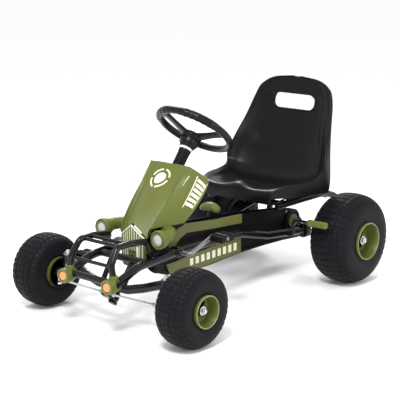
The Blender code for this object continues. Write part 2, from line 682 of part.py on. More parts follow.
# ---------------------------------------------------------------- levers
def make_brake_lever():
    """A hand brake beside the seat: a bent rod on a pivot bracket, with a grip across it."""
    y, z = 0.2115, 0.205
    pivot = Vector((0.120, 0.232, 0.150))
    corners = [
        pivot - X_AXIS * 0.0174, pivot + X_AXIS * 0.020, Vector((0.150, y + 0.004, z - 0.016)),
        Vector((0.166, y, z)), Vector((0.2087, y, z)),
    ]
    tube("brake_lever", corners, 0.0042, FRAME, bend=0.012, sides=8, steps=3)
    profile = [(0.2090, 0.0075), (0.2110, 0.0094), (0.2710, 0.0102), (0.2750, 0.0080)]
    stack("brake_grip", profile, Vector((0, y, z)), X_AXIS, GREEN, 20)


def make_shift_lever():
    """The drive lever on the centre beam: a stem with a cross grip."""
    grip = Vector((0, 0.0140, 0.2570))
    pivot = Vector((0, -0.0060, 0.2166))
    tube("shift_lever", [pivot, grip - Vector((0, 0.003, 0.0135))], 0.0040, FRAME, sides=10)
    profile = [(-0.0340, 0.0090), (-0.0310, 0.0125), (0.0260, 0.0130), (0.0320, 0.0090)]
    stack("shift_grip", profile, grip, X_AXIS, GREEN, 20)


# ---------------------------------------------------------------- seat
SEAT_STATIONS = (  # y, z, half width, how far the edges stand towards the rider
    (0.1280, 0.2600, 0.128, 0.000), (0.1230, 0.2880, 0.132, 0.000), (0.1380, 0.3015, 0.140, 0.003),
    (0.1900, 0.2960, 0.158, 0.014), (0.2500, 0.2870, 0.169, 0.024), (0.3060, 0.2860, 0.178, 0.034),
    (0.3460, 0.3050, 0.186, 0.044), (0.3700, 0.3450, 0.187, 0.050), (0.3860, 0.4000, 0.176, 0.040),
    (0.4000, 0.4600, 0.161, 0.022), (0.4120, 0.5200, 0.147, 0.008), (0.4190, 0.5560, 0.134, 0.003),
    (0.4225, 0.5720, 0.119, 0.000), (0.4255, 0.5840, 0.098, 0.000), (0.4280, 0.5920, 0.068, 0.000),
    (0.4300, 0.5960, 0.032, 0.000),
)
SEAT_SKIRT = (  # y, z: from each station's edge to the foot of its side wall
    (0.003, 0.000), (0.005, -0.006), (0.003, -0.024), (0.000, -0.036), (0.000, -0.040),
    (0.003, -0.049), (0.022, -0.066), (0.026, -0.060), (0.016, -0.012), (0.009, -0.003),
    (0.008, -0.002), (0.008, -0.002), (0.007, -0.002), (0.006, -0.001), (0.006, -0.001),
    (0.006, -0.001),
)
SEAT_WALL = 0.006


def make_seat():
    data = bmesh.new()
    columns = 10
    centres = [Vector((0, y, z)) for y, z, _, _ in SEAT_STATIONS]
    grid = []
    for i, (_, _, half_width, wing) in enumerate(SEAT_STATIONS):
        along = centres[min(i + 1, len(centres) - 1)] - centres[max(i - 1, 0)]
        towards = X_AXIS.cross(along).normalized()
        row = []
        for j in range(columns + 1):
            across = 2 * j / columns - 1
            row.append(centres[i] + X_AXIS * half_width * across + towards * wing * abs(across) ** 3)
        drop = Vector((0.0, *SEAT_SKIRT[i]))
        row = [row[0] - X_AXIS * 0.002 + drop] + row + [row[-1] + X_AXIS * 0.002 + drop]
        grid.append([data.verts.new(point) for point in row])
    for low, high in zip(grid, grid[1:]):
        for j in range(columns + 2):
            data.faces.new((low[j], low[j + 1], high[j + 1], high[j]))
    seat = finish("seat_shell", data, BLACK, 60)
    shell = seat.modifiers.new("wall", "SOLIDIFY")
    shell.thickness = SEAT_WALL
    shell.offset = -1 if seat.data.polygons[4 * (columns + 2) + columns // 2].normal.z > 0 else 1
    hole = box("handle_cutter", (-0.080, 0.36, 0.4950), (0.080, 0.48, 0.5490), BLACK)
    corner = hole.modifiers.new("corners", "BEVEL")
    corner.width = 0.018
    corner.segments = 3
    corner.affect = "EDGES"
    cut(seat, hole)

    rest = 0.2604
    inner, outer = SEAT_RAIL_X - 0.010, SEAT_RAIL_X + 0.010
    slider = box("seat_slider", (-outer, 0.262, rest), (outer, 0.286, rest + 0.0040), STEEL)
    straps = [
        box(f"{word}_strap_part", (min(side * inner, side * outer), 0.190, rest),
            (max(side * inner, side * outer), 0.340, rest + 0.0050), STEEL)
        for word, side in SIDES
    ]
    posts = [
        rod(f"{word}_post_part_{number}", (side * SEAT_RAIL_X, y, rest + 0.002),
            (side * SEAT_RAIL_X, y, top), 0.006, STEEL, 12)
        for word, side in SIDES
        for number, (y, top) in enumerate(((0.205, 0.2943), (0.325, 0.3000)))
    ]
    unite(slider, *straps, *posts)


make_wheels()
make_rear_axle()
make_chain_drive()
make_crank()
make_frame()
make_front_beam()
make_bumper()
make_lamps()
make_hood()
make_steering()
make_knuckles()
make_tie_rods()
make_brake_lever()
make_shift_lever()
make_seat()
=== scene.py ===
"""The looks of a child's pedal go kart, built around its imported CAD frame.

Metres, in the CAD's frame: the kart faces -Y, its left side is at +X, the ground is z = 0.
"""

import math

import bmesh
import bpy
from mathutils import Matrix, Vector


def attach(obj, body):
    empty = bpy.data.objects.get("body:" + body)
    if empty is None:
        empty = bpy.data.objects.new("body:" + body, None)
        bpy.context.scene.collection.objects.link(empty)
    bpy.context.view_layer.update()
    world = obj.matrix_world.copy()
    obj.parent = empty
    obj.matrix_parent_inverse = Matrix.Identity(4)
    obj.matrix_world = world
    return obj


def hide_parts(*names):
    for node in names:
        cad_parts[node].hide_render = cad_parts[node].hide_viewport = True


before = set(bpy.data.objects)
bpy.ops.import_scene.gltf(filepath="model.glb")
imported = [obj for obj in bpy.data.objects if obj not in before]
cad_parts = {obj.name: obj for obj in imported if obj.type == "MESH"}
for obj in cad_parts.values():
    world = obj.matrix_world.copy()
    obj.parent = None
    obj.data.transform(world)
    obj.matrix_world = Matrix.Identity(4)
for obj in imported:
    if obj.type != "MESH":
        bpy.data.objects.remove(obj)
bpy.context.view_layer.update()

X, Y, Z = Vector((1, 0, 0)), Vector((0, 1, 0)), Vector((0, 0, 1))
SIDES = (("left", 1), ("right", -1))
TAU = 2 * math.pi

# ---------------------------------------------------------------- shared dimensions
FRONT_Y, REAR_Y = -0.381, 0.364
KINGPIN_X = 0.188
FRONT = {"x": 0.275, "radius": 0.105, "width": 0.104, "section": 0.037, "rim": 0.0438}
REAR = {"x": 0.25, "radius": 0.136, "width": 0.137, "section": 0.055, "rim": 0.056}
RAIL_X, SEAT_RAIL_X = 0.09, 0.13
BUMPER_Y, LAMP_X, LAMP_Z = -0.472, 0.083, 0.148
HEADLIGHT = Vector((0.106, -0.328, 0.244))
CRANK = Vector((0, -0.234, 0.19))
CRANK_THROW, CRANK_PHASE = 0.1, math.radians(21)
PEDAL_X = (0.152, 0.1965)
LEAN = math.radians(38.5)
FOOT = Vector((0.0, -0.3835, 0.08))
UP_COLUMN = Vector((0.0, math.sin(LEAN), math.cos(LEAN)))
AHEAD = Vector((0.0, -math.cos(LEAN), math.sin(LEAN)))
GUARD_OUT = 0.06


def on_column(along, ahead=0.0, sideways=0.0):
    """A point by its places along the steering shaft, ahead of it and to the left of it."""
    return FOOT + along * UP_COLUMN + ahead * AHEAD + sideways * X


# ---------------------------------------------------------------- materials
def surface(name, colour, roughness, metallic=0.0, grain=900, bump=0.12, mottle=0.1,
            mottle_scale=14, rough_spread=0.1, coat=0.0, dust=0.0, shine=0.5):
    """A Principled material whose colour, roughness and relief vary with procedural noise."""
    made = bpy.data.materials.new(name)
    made.use_nodes = True
    nodes, links = made.node_tree.nodes, made.node_tree.links
    shader = nodes["Principled BSDF"]
    place = nodes.new("ShaderNodeTexCoord").outputs["Object"]

    def noise_of(scale, detail):
        made_noise = nodes.new("ShaderNodeTexNoise")
        made_noise.inputs["Scale"].default_value = scale
        made_noise.inputs["Detail"].default_value = detail
        links.new(place, made_noise.inputs["Vector"])
        return made_noise.outputs["Fac"]

    patches = noise_of(mottle_scale, 4)
    mix = nodes.new("ShaderNodeMix")
    mix.data_type = "RGBA"
    mix.inputs[6].default_value = (*[c * (1 - mottle) for c in colour], 1)
    mix.inputs[7].default_value = (*[min(c * (1 + mottle), 1) for c in colour], 1)
    links.new(patches, mix.inputs[0])
    colour_out = mix.outputs[2]
    if dust:
        specks = nodes.new("ShaderNodeValToRGB")
        specks.color_ramp.elements[0].position = 0.56
        specks.color_ramp.elements[1].position = 0.72
        links.new(noise_of(mottle_scale * 9, 6), specks.inputs["Fac"])
        over = nodes.new("ShaderNodeMix")
        over.data_type = "RGBA"
        over.inputs[7].default_value = (*[c + dust for c in colour], 1)
        links.new(colour_out, over.inputs[6])
        links.new(specks.outputs["Color"], over.inputs[0])
        colour_out = over.outputs[2]
    links.new(colour_out, shader.inputs["Base Color"])

    spread = nodes.new("ShaderNodeMapRange")
    spread.inputs["To Min"].default_value = max(roughness - rough_spread, 0.03)
    spread.inputs["To Max"].default_value = min(roughness + rough_spread, 1.0)
    links.new(noise_of(mottle_scale * 4, 5), spread.inputs["Value"])
    links.new(spread.outputs["Result"], shader.inputs["Roughness"])

    relief = nodes.new("ShaderNodeBump")
    relief.inputs["Strength"].default_value = bump
    relief.inputs["Distance"].default_value = 0.0004
    links.new(noise_of(grain, 3), relief.inputs["Height"])
    links.new(relief.outputs["Normal"], shader.inputs["Normal"])
    shader.inputs["Metallic"].default_value = metallic
    shader.inputs["Specular IOR Level"].default_value = shine
    shader.inputs["Coat Weight"].default_value = coat
    shader.inputs["Coat Roughness"].default_value = 0.12
    made.diffuse_color = (*colour, 1)
    return made


OLIVE = surface("olive_moulded", (0.104, 0.12, 0.021), 0.42, bump=0.05, mottle=0.05, shine=0.28)
# A darker copy of the olive: painted shade for the recesses, the rims' dishes and webs and the grille's
# back panel.
OLIVE_SHADED = surface("olive_painted_shade", (0.082, 0.096, 0.016), 0.42, bump=0.08, mottle=0.08)
OLIVE_STRIP = surface("olive_strip", (0.096, 0.1, 0.014), 0.45, bump=0.06, mottle=0.06)
# A lighter copy of the olive: painted highlight for the wheels' lips, the lamps' flanges, the
# headlights' bezels and the guard's cap.
OLIVE_LIT = surface("olive_painted_highlight", (0.18, 0.205, 0.07), 0.35, bump=0.06, mottle=0.05)
CREAM = surface("cream_print", (0.74, 0.74, 0.56), 0.45, bump=0.03, mottle=0.04)
FRAME = surface("gloss_black_coat", (0.0035, 0.0035, 0.0042), 0.2, grain=500, bump=0.08, mottle=0.2,
                shine=0.3)
SATIN = surface("satin_black_plastic", (0.004, 0.004, 0.0054), 0.33, grain=1400, bump=0.2,
                mottle=0.15, rough_spread=0.07, shine=0.15)
CASE = surface("black_case_plastic", (0.003, 0.003, 0.0036), 0.4, grain=1100, bump=0.2,
               mottle=0.2, shine=0.14)
GRIP = surface("wheel_grip_plastic", (0.004, 0.004, 0.0048), 0.3, grain=1600, bump=0.25,
               mottle=0.2, shine=0.22)
RUBBER = surface("tyre_rubber", (0.0055, 0.0056, 0.0074), 0.5, grain=1300, bump=0.35, mottle=0.25,
                 rough_spread=0.14, dust=0.004, shine=0.1)
ZINC = surface("zinc_plate", (0.62, 0.62, 0.63), 0.3, metallic=1.0, grain=260, bump=0.06,
               mottle=0.12)
STEEL = surface("dark_steel", (0.2, 0.2, 0.21), 0.42, metallic=1.0, grain=420, bump=0.15,
                mottle=0.2)
WHITE = surface("white_plastic", (0.72, 0.72, 0.75), 0.38, bump=0.05, mottle=0.05)
HOLE = surface("deep_shadow", (0.004, 0.004, 0.004), 0.8, bump=0.05, mottle=0.2, shine=0.1)


def cellular(name, colour, scale, roughness, strength, painted_glow=0.0):
    """A moulded lens: small prisms under a clear gloss, with an emission in its own colour that paints
    a glow.
    """
    made = surface(name, colour, roughness, mottle=0.08, coat=0.8)
    nodes, links = made.node_tree.nodes, made.node_tree.links
    shader = nodes["Principled BSDF"]
    cells = nodes.new("ShaderNodeTexVoronoi")
    cells.inputs["Scale"].default_value = scale
    links.new(nodes["Texture Coordinate"].outputs["Object"], cells.inputs["Vector"])
    relief = nodes.new("ShaderNodeBump")
    relief.inputs["Strength"].default_value = strength
    relief.inputs["Distance"].default_value = 0.001
    links.new(cells.outputs["Distance"], relief.inputs["Height"])
    links.new(relief.outputs["Normal"], shader.inputs["Normal"])
    shader.inputs["Emission Color"].default_value = (*colour, 1)
    shader.inputs["Emission Strength"].default_value = painted_glow
    return made


CLEAR = cellular("headlight_prisms", (0.46, 0.47, 0.5), 420, 0.22, 0.7)
# The amber lens emits a little of its own colour: a painted glow.
AMBER = cellular("amber_prisms", (0.72, 0.22, 0.045), 360, 0.2, 0.6, 0.12)


# ---------------------------------------------------------------- geometry: (points, faces) pairs
def loft(rings, wrap=False, caps=True):
    """Joins rings of points. wrap joins the last ring to the first."""
    points = [point for ring in rings for point in ring]
    size, faces = len(rings[0]), []
    for i in range(len(rings) if wrap else len(rings) - 1):
        low, high = i * size, (i + 1) % len(rings) * size
        faces += [(low + k, low + (k + 1) % size, high + (k + 1) % size, high + k)
                  for k in range(size)]
    if caps and not wrap:
        faces += [tuple(range(size)), tuple(range(len(points) - size, len(points)))]
    return points, faces


def sheet(rows):
    """An open grid of points."""
    points = [point for row in rows for point in row]
    size = len(rows[0])
    faces = [(i * size + k, i * size + k + 1, (i + 1) * size + k + 1, (i + 1) * size + k)
             for i in range(len(rows) - 1) for k in range(size - 1)]
    return points, faces


def axes_of(axis):
    """Two directions square to an axis and to each other."""
    axis = axis.normalized()
    helper = Z if abs(axis.z) < 0.9 else Y
    across = helper.cross(axis).normalized()
    return across, axis.cross(across)


def circle(sides):
    """Angles evenly round a full turn."""
    return [TAU * k / sides for k in range(sides)]


def around_x(angle):
    """The direction at an angle round the X axis, from +Y."""
    return Vector((0, math.cos(angle), math.sin(angle)))


def ring(centre, axis, radius, sides):
    """Points evenly round an axis."""
    across, up = axes_of(axis)
    return [centre + radius * (math.cos(a) * across + math.sin(a) * up) for a in circle(sides)]


def spun(profile, centre, axis, sides=48, closed=False):
    """A profile of (along, radius) turned about an axis. closed joins its ends round a bore."""
    axis = axis.normalized()
    rings = [ring(centre + along * axis, axis, radius, sides) for along, radius in profile]
    return loft(rings, wrap=closed, caps=not closed)


def sleeve(low, high, bore, radius, inset, step):
    """A bored tube's profile: each outer edge is cut back by step over the length of inset."""
    return [(low, bore), (low, radius - step), (low + inset, radius), (high - inset, radius),
            (high, radius - step), (high, bore)]


def rounded_path(corners, bend, steps=8):
    """The corners joined by straights, with an arc of the bend radius at each inner corner."""
    corners = [Vector(corner) for corner in corners]
    points = [corners[0]]
    for before, corner, after in zip(corners, corners[1:], corners[2:]):
        back, ahead = before - corner, after - corner
        half = back.angle(ahead) / 2
        if abs(half - math.pi / 2) < 0.01:
            points.append(corner)
            continue
        reach = min(bend / math.tan(half), 0.48 * back.length, 0.48 * ahead.length)
        radius = reach * math.tan(half)
        middle = (back.normalized() + ahead.normalized()).normalized()
        centre = corner + middle * (radius / math.sin(half))
        start = corner + back.normalized() * reach - centre
        end = corner + ahead.normalized() * reach - centre
        for i in range(steps + 1):
            points.append(centre + start.slerp(end, i / steps).normalized() * radius)
    points.append(corners[-1])
    return points


def swept(points, radius, sides=20, flat=1.0, ends=0.0):
    """A round or flattened bar along points. ends rounds off both ends over that length."""
    points = [Vector(point) for point in points]
    if ends:
        first, last = (points[0] - points[1]).normalized(), (points[-1] - points[-2]).normalized()
        points = ([points[0], points[0] - first * ends] + points[1:-1]
                  + [points[-1] - last * ends, points[-1]])
    radii = radius if isinstance(radius, (list, tuple)) else [radius] * len(points)
    direction = (points[1] - points[0]).normalized()
    across, up = axes_of(direction)
    rings = []
    for i, point in enumerate(points):
        heading = (points[min(i + 1, len(points) - 1)] - points[max(i - 1, 0)]).normalized()
        twist = direction.rotation_difference(heading)
        across, up, direction = twist @ across, twist @ up, heading
        size = radii[i] * (0.72 if ends and i in (0, len(points) - 1) else 1)
        rings.append([point + size * (math.cos(a) * across + flat * math.sin(a) * up)
                      for a in circle(sides)])
    return loft(rings)


def bar(start, end, radius, sides=20, ends=0.0008):
    """A straight round bar."""
    return swept([start, end], radius, sides, ends=ends)


def block(low, high, rounding=0.002, segments=3):
    """A box between two corners, with all its edges rounded."""
    low, high = Vector(low), Vector(high)
    data = bmesh.new()
    bmesh.ops.create_cube(data, size=1.0)
    bmesh.ops.scale(data, vec=high - low, verts=data.verts)
    bmesh.ops.translate(data, vec=(low + high) / 2, verts=data.verts)
    bmesh.ops.bevel(data, geom=data.edges[:] + data.verts[:], offset=rounding,
                    segments=segments, profile=0.5, affect="EDGES")
    data.verts.index_update()
    made = [v.co.copy() for v in data.verts], [tuple(v.index for v in f.verts) for f in data.faces]
    data.free()
    return made


def hex_bolt(centre, axis, size, height, washer=True):
    """A hexagon head with a washer under it, standing out along the axis."""
    axis = axis.normalized()
    parts = []
    if washer:
        parts.append(spun([(0, size * 1.35), (0.0012, size * 1.35), (0.0014, size * 1.25)],
                          centre, axis, 28))
        centre = centre + axis * 0.0013
    parts.append(loft([ring(centre + axis * h, axis, r, 6)
                       for h, r in ((0, size), (height * 0.85, size), (height, size * 0.86))]))
    return parts


def sided(side, *points):
    """Points of the left side, moved to the side asked for."""
    return [Vector((side * x, y, z)) for x, y, z in points]


def solid_mesh(name, points, faces):
    """A mesh whose faces all look outwards."""
    mesh = bpy.data.meshes.new(name)
    mesh.from_pydata([tuple(point) for point in points], [], faces)
    data = bmesh.new()
    data.from_mesh(mesh)
    bmesh.ops.recalc_face_normals(data, faces=data.faces)
    data.to_mesh(mesh)
    data.free()
    return mesh


def smoothed(mesh, sharp):
    """Shades a mesh smooth, apart from edges sharper than this many degrees."""
    mesh.shade_smooth()
    mesh.set_sharp_from_angle(angle=math.radians(sharp))


def added(name, data):
    """A new object in the scene."""
    made = bpy.data.objects.new(name, data)
    bpy.context.scene.collection.objects.link(made)
    return made


def applied(target, change):
    """Makes a modifier's result the target's own mesh."""
    bpy.context.view_layer.objects.active = target
    bpy.ops.object.modifier_apply(modifier=change.name)


def cut(target, forms, sharp=38):
    """Cuts closed forms out of a piece."""
    for points, faces in forms:
        cutter = added("cutter", solid_mesh("cutter", points, faces))
        change = target.modifiers.new("cut", "BOOLEAN")
        change.operation, change.object, change.solver = "DIFFERENCE", cutter, "EXACT"
        applied(target, change)
        bpy.data.objects.remove(cutter)
    smoothed(target.data, sharp)


def drill(target, holes, axis, radius, depth=0.02):
    """Cuts round holes through a piece."""
    cut(target, [spun([(-depth, radius), (depth, radius)], hole, axis, 24) for hole in holes])


def piece(name, parts, paint, body, *replaced, sharp=38):
    """Builds one object from several (points, faces) pairs and says what it rides on."""
    parts = [parts] if isinstance(parts, tuple) else parts
    points, faces = [], []
    for more_points, more_faces in parts:
        start = len(points)
        points += more_points
        faces += [tuple(start + k for k in face) for face in more_faces]
    mesh = solid_mesh(name, points, faces)
    mesh.materials.append(paint)
    smoothed(mesh, sharp)
    made = added(name, mesh)
    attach(made, body)
    if replaced:
        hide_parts(*replaced)
    return made


def eased(value, low, high):
    """0 below low, 1 above high, and a smooth step between."""
    t = min(max((value - low) / (high - low), 0), 1)
    return t * t * (3 - 2 * t)


def through(controls, t):
    """A smooth curve through control values, t from 0 to 1."""
    place = min(max(t, 0), 1) * (len(controls) - 1)
    i = min(int(place), len(controls) - 2)
    f = place - i
    a, b, c, d = (controls[max(min(k, len(controls) - 1), 0)] for k in (i - 1, i, i + 1, i + 2))
    return tuple(0.5 * (2 * q + (r - p) * f + (2 * p - 5 * q + 4 * r - s) * f * f
                        + (3 * q - p - 3 * r + s) * f ** 3) for p, q, r, s in zip(a, b, c, d))


# ---------------------------------------------------------------- wheels
def tread_depth(across, up, edge):
    """How far the tread is sunk, from 0 to 1.

    across runs from 0 at the middle to 1 at the widest point, up is above 0 on the outer half,
    and edge from 0 in the gap before a block to 1 at its middle.
    """
    if up <= 0:
        return 0.7 + 0.2 * max(math.cos((up + 0.45) * 22), 0)
    shoulder = 0.6
    grooves = max(1 - abs(across - shoulder) / 0.05, 1 - abs(across - 0.31) / 0.04,
                  1 - across / 0.04, 0)
    groove = min(grooves * 1.8, 1)
    if across < shoulder:
        return max(groove, 0.8 * (1 - eased(edge, 0.13, 0.24)))
    lug = (1 - eased(edge, 0.2, 0.34)) * eased(up, 0.45, 0.62)
    sunk = max(groove, 0.6 * lug)
    return sunk + (1 - sunk) * 0.7 * (1 - eased(up, 0.4, 0.58))


def tyre(sizes, side, y, blocks):
    """A balloon tyre with ring grooves, rows of square blocks and shoulder lugs."""
    half, section = sizes["width"] / 2, sizes["section"]
    middle = sizes["radius"] - section
    power = 2 / 2.6  # squarer than a circle
    bore = sizes["rim"] + 0.0006
    dip = math.asin(((middle - bore) / section) ** (1 / power))
    centre = Vector((side * sizes["x"], y, sizes["radius"]))
    steps, around = 72, blocks * 11  # points over the section, and round the tyre
    depth = 0.0027 * sizes["radius"] / 0.105
    rows = []
    for j in range(around):
        angle = TAU * j / around
        out = around_x(angle)
        row = []
        for i in range(steps):
            a = -dip + (math.pi + 2 * dip) * i / (steps - 1)
            along = math.copysign(abs(math.cos(a)) ** power, math.cos(a))
            up = math.copysign(abs(math.sin(a)) ** power, math.sin(a))
            across = abs(along)
            offset = 0 if along > 0 else 0.5
            cell = (angle / TAU * blocks + (offset if across > 0.52 else 0)) % 1
            edge = min(cell, 1 - cell) * 2
            push = depth * tread_depth(across, up, edge)
            section_out = Vector((0.35 * along, up, 0)).normalized()
            radius = middle + section * up - push * max(section_out.y, 0.25)
            reach = half * along - push * section_out.x
            row.append(centre + X * side * reach + out * radius)
        rows.append(row)
    return loft(rows, wrap=True)


def rim(sizes, side, y, web, nut_out):
    """The pieces of a deep rim: barrel and lip, web with four holes, hub."""
    centre, out = Vector((side * sizes["x"], y, sizes["radius"])), X * side
    lip, barrel = sizes["width"] / 2 + 0.004, sizes["rim"]
    back = -lip
    profile = [
        (back, barrel), (back + 0.003, barrel + 0.0002), (lip - 0.006, barrel + 0.0002),
        (lip - 0.0035, barrel + 0.0002), (lip - 0.001, barrel), (lip, barrel - 0.0009),
        (lip - 0.0006, barrel - 0.0028), (lip - 0.004, barrel - 0.0042), (lip - 0.012, barrel - 0.0058),
        (web + 0.006, barrel - 0.0085), (web + 0.0015, barrel - 0.011), (web, barrel - 0.015),
        (web - 0.003, barrel - 0.015), (web - 0.003, barrel - 0.008), (back, barrel - 0.0035),
    ]
    dish = spun(profile, centre, out, 72, closed=True)
    hole_at, hole = 0.5 * (barrel - 0.015 + 0.0125), 0.26 * (barrel - 0.015 - 0.0125) + 0.0035
    disc = spun([(web - 0.0028, 0.0105), (web + 0.0012, 0.0105), (web + 0.0008, barrel - 0.0146),
                 (web - 0.0028, barrel - 0.0146)], centre, out, 72, closed=True)
    hub = [
        spun([(web - 0.004, 0.015), (web + 0.003, 0.0146), (web + 0.0075, 0.013),
              (nut_out - 0.0005, 0.0126), (nut_out, 0.0118), (nut_out, 0.0085),
              (web - 0.004, 0.0085)], centre, out, 40, closed=True),
        spun([(-0.8 * lip, 0.0125), (web - 0.004, 0.0135), (web - 0.004, 0.0085),
              (-0.8 * lip, 0.0085)], centre, out, 32, closed=True),
    ]
    holes = [centre + around_x(math.radians(45 + 90 * k)) * hole_at + out * web for k in range(4)]
    return dish, disc, hub, holes, hole, out


def make_wheel(name, sizes, side, y, blocks, web, nut_out, body):
    """A tyre on its rim. web is how far out the web stands, nut_out the hub's outer end."""
    piece(f"{name}_tread", tyre(sizes, side, y, blocks), RUBBER, body, f"{name}_tyre", sharp=50)
    dish, disc, hub, holes, hole, out = rim(sizes, side, y, web, nut_out)
    # The dish and web take the darker olive: painted shade in the rim's hollow.
    piece(f"{name}_dish", dish, OLIVE_SHADED, body, f"{name}_rim")
    plate = piece(f"{name}_web", disc, OLIVE_SHADED, body)
    drill(plate, holes, out, hole)
    piece(f"{name}_hub", hub, CASE, body)
    centre = Vector((side * sizes["x"], y, sizes["radius"]))
    barrel, back = sizes["rim"], -sizes["width"] / 2 - 0.004
    # A black sheet inside the hollow rim, behind the web's holes and across its inner side: painted
    # shade.
    inner_shade_sheet = spun([(back - 0.0008, barrel - 0.0002), (back + 0.001, barrel - 0.0032),
                  (web - 0.01, barrel - 0.0079), (web - 0.01, 0.014),
                  (web - 0.0115, 0.014), (web - 0.0115, barrel - 0.0095),
                  (back + 0.001, barrel - 0.0052), (back - 0.0008, barrel - 0.0044)],
                 centre, out, 64, closed=True)
    piece(f"{name}_liner", inner_shade_sheet, CASE, body)
    # The bead takes the lighter olive: a painted highlight along the rim's lip.
    lip = sizes["width"] / 2 + 0.0042
    bead = spun([(lip - 0.0035, barrel + 0.0004), (lip - 0.001, barrel + 0.0003),
                 (lip + 0.0002, barrel - 0.0008), (lip - 0.0008, barrel - 0.0029),
                 (lip - 0.0035, barrel - 0.0014)], centre, out, 72, closed=True)
    piece(f"{name}_lip", bead, OLIVE_LIT, body)


# ---------------------------------------------------------------- frame tubes
def make_side_tubes():
    """On each side the main rail, the seat's rail and the bumper hoop."""
    for word, side in SIDES:
        rail = rounded_path([(side * RAIL_X, y, z) for y, z in (
            (BUMPER_Y + 0.0135, 0.155), (-0.385, 0.181), (CRANK.y, CRANK.z), (0.035, 0.187),
            (0.17, 0.155), (REAR_Y - 0.029, 0.137))], 0.1, 12)
        parts = [swept(rail, 0.012, 24)]
        bush = Vector((side * 0.076, CRANK.y, CRANK.z))
        parts.append(spun(sleeve(0, 0.028, 0.0085, 0.0155, 0.0015, 0.001), bush, X * side, 32,
                          closed=True))
        if side > 0:
            parts += [bar((GUARD_OUT + 0.0003, y, z), (0.088, y, z), 0.006, 20)
                      for y, z in ((-0.06, 0.1895), (0.13, 0.164))]
        piece(f"{word}_rail_tube", parts, FRAME, "chassis", f"{word}_side_rail")

        rail = rounded_path(sided(
            side, (SEAT_RAIL_X, 0.162, 0.2505), (SEAT_RAIL_X, 0.405, 0.2505),
            (SEAT_RAIL_X, 0.458, 0.232), (SEAT_RAIL_X, 0.478, 0.2),
            (0.108, REAR_Y + 0.062, 0.136), (0.095, REAR_Y + 0.031, 0.136)), 0.025, 10)
        piece(f"{word}_seat_tube", swept(rail, 0.01, 22, ends=0.0015), FRAME, "chassis",
              f"{word}_seat_rail")

        hoop = rounded_path(sided(
            side, (0.086, -0.335, 0.2075), (0.069, -0.33, 0.236), (0.07, -0.4, 0.2435),
            (0.0705, -0.443, 0.242), (0.076, BUMPER_Y, 0.2), (LAMP_X, BUMPER_Y, 0.1642)), 0.022, 12)
        piece(f"{word}_hoop_tube", swept(hoop, 0.009, 24), FRAME, "chassis", f"{word}_bumper_hoop")


def make_bearings():
    """The blocks that hold the rear axle, each with two bolts."""
    for word, side in SIDES:
        centre = Vector((side * 0.091, REAR_Y, 0.1365))
        parts = [block((centre.x - 0.0105, REAR_Y - 0.0265, 0.1135),
                       (centre.x + 0.0105, REAR_Y + 0.0265, 0.1595), 0.006, 4)]
        parts.append(spun([(-0.0125, 0.0086), (-0.0125, 0.015), (0.0125, 0.015),
                           (0.0125, 0.0086)], Vector((centre.x, REAR_Y, 0.136)), X * side, 32,
                          closed=True))
        for ahead in (0.017, -0.017):
            place = centre + X * side * 0.0104 + Y * ahead + Z * 0.014
            parts += hex_bolt(place, X * side, 0.0045, 0.003)
        piece(f"{word}_bearing_block", parts, FRAME, "chassis", f"{word}_axle_bracket")


def make_middle_tubes():
    """The backbone with the column's strut, and every bar that runs across the kart."""
    def across(name, node, reach, y, z, radius, sides=20, ends=0.0008):
        piece(name, bar((-reach, y, z), (reach, y, z), radius, sides, ends), FRAME, "chassis", node)

    beam = rounded_path([(-0.0735, -0.178, 0.19), (0, -0.15, 0.192), (0, -0.04, 0.196),
                         (0, 0.1, 0.219), (0, 0.2127, 0.2405)], 0.045, 12)
    strut = bar(on_column(0.25, -0.0173), on_column(0.25, -0.122), 0.009, ends=0.0)
    piece("backbone_tube", [swept(beam, 0.011, 24), strut], FRAME, "chassis", "centre_beam")
    across("front_cross_bar", "front_cross_tube", RAIL_X - 0.0123, -0.352, 0.183, 0.01)
    for name, y, z in (("seat_front_cross_bar", 0.222, 0.244), ("seat_rear_cross_bar", 0.43, 0.237)):
        across(f"{name}_tube", name, SEAT_RAIL_X - 0.0103, y, z, 0.009)
    across("bumper_lower_tube", "bumper_lower_bar", 0.104, BUMPER_Y, 0.1525, 0.0098, 28, 0.002)
    bars = ((-0.4045, 0.2435, 0.0608), (-0.43, 0.241, 0.061), (-0.469, 0.196, 0.067))
    for number, (y, z, reach) in enumerate(bars, 1):
        across(f"bumper_rod_{number}", f"bumper_bar_{number}", reach, y, z, 0.005, 16)


def make_front_beam():
    """The gull-shaped axle beam, its kingpin housings, its posts and the shaft's foot bearing."""
    path = rounded_path([(-0.182, FRONT_Y, 0.15), (-0.11, FRONT_Y - 0.007, 0.126),
                         (-0.055, FRONT_Y - 0.0115, 0.112), (0.055, FRONT_Y - 0.0115, 0.112),
                         (0.11, FRONT_Y - 0.007, 0.126), (0.182, FRONT_Y, 0.15)], 0.06, 12)
    parts = [swept(path, 0.0125, 24)]
    parts.append(spun(sleeve(0.018, 0.056, 0.0081, 0.0152, 0.001, 0.0007), FOOT, UP_COLUMN, 32,
                      closed=True))
    for _, side in SIDES:
        pin = Vector((side * KINGPIN_X, FRONT_Y, 0))
        parts.append(spun(sleeve(0.13, 0.1645, 0.0074, 0.0146, 0.0008, 0.0008), pin, Z, 36,
                          closed=True))
        parts.append(bar((side * 0.04, FRONT_Y - 0.0105, 0.118), (side * 0.04, -0.3572, 0.1739),
                         0.0075))
    piece("gull_beam", parts, FRAME, "chassis", "front_axle_beam")


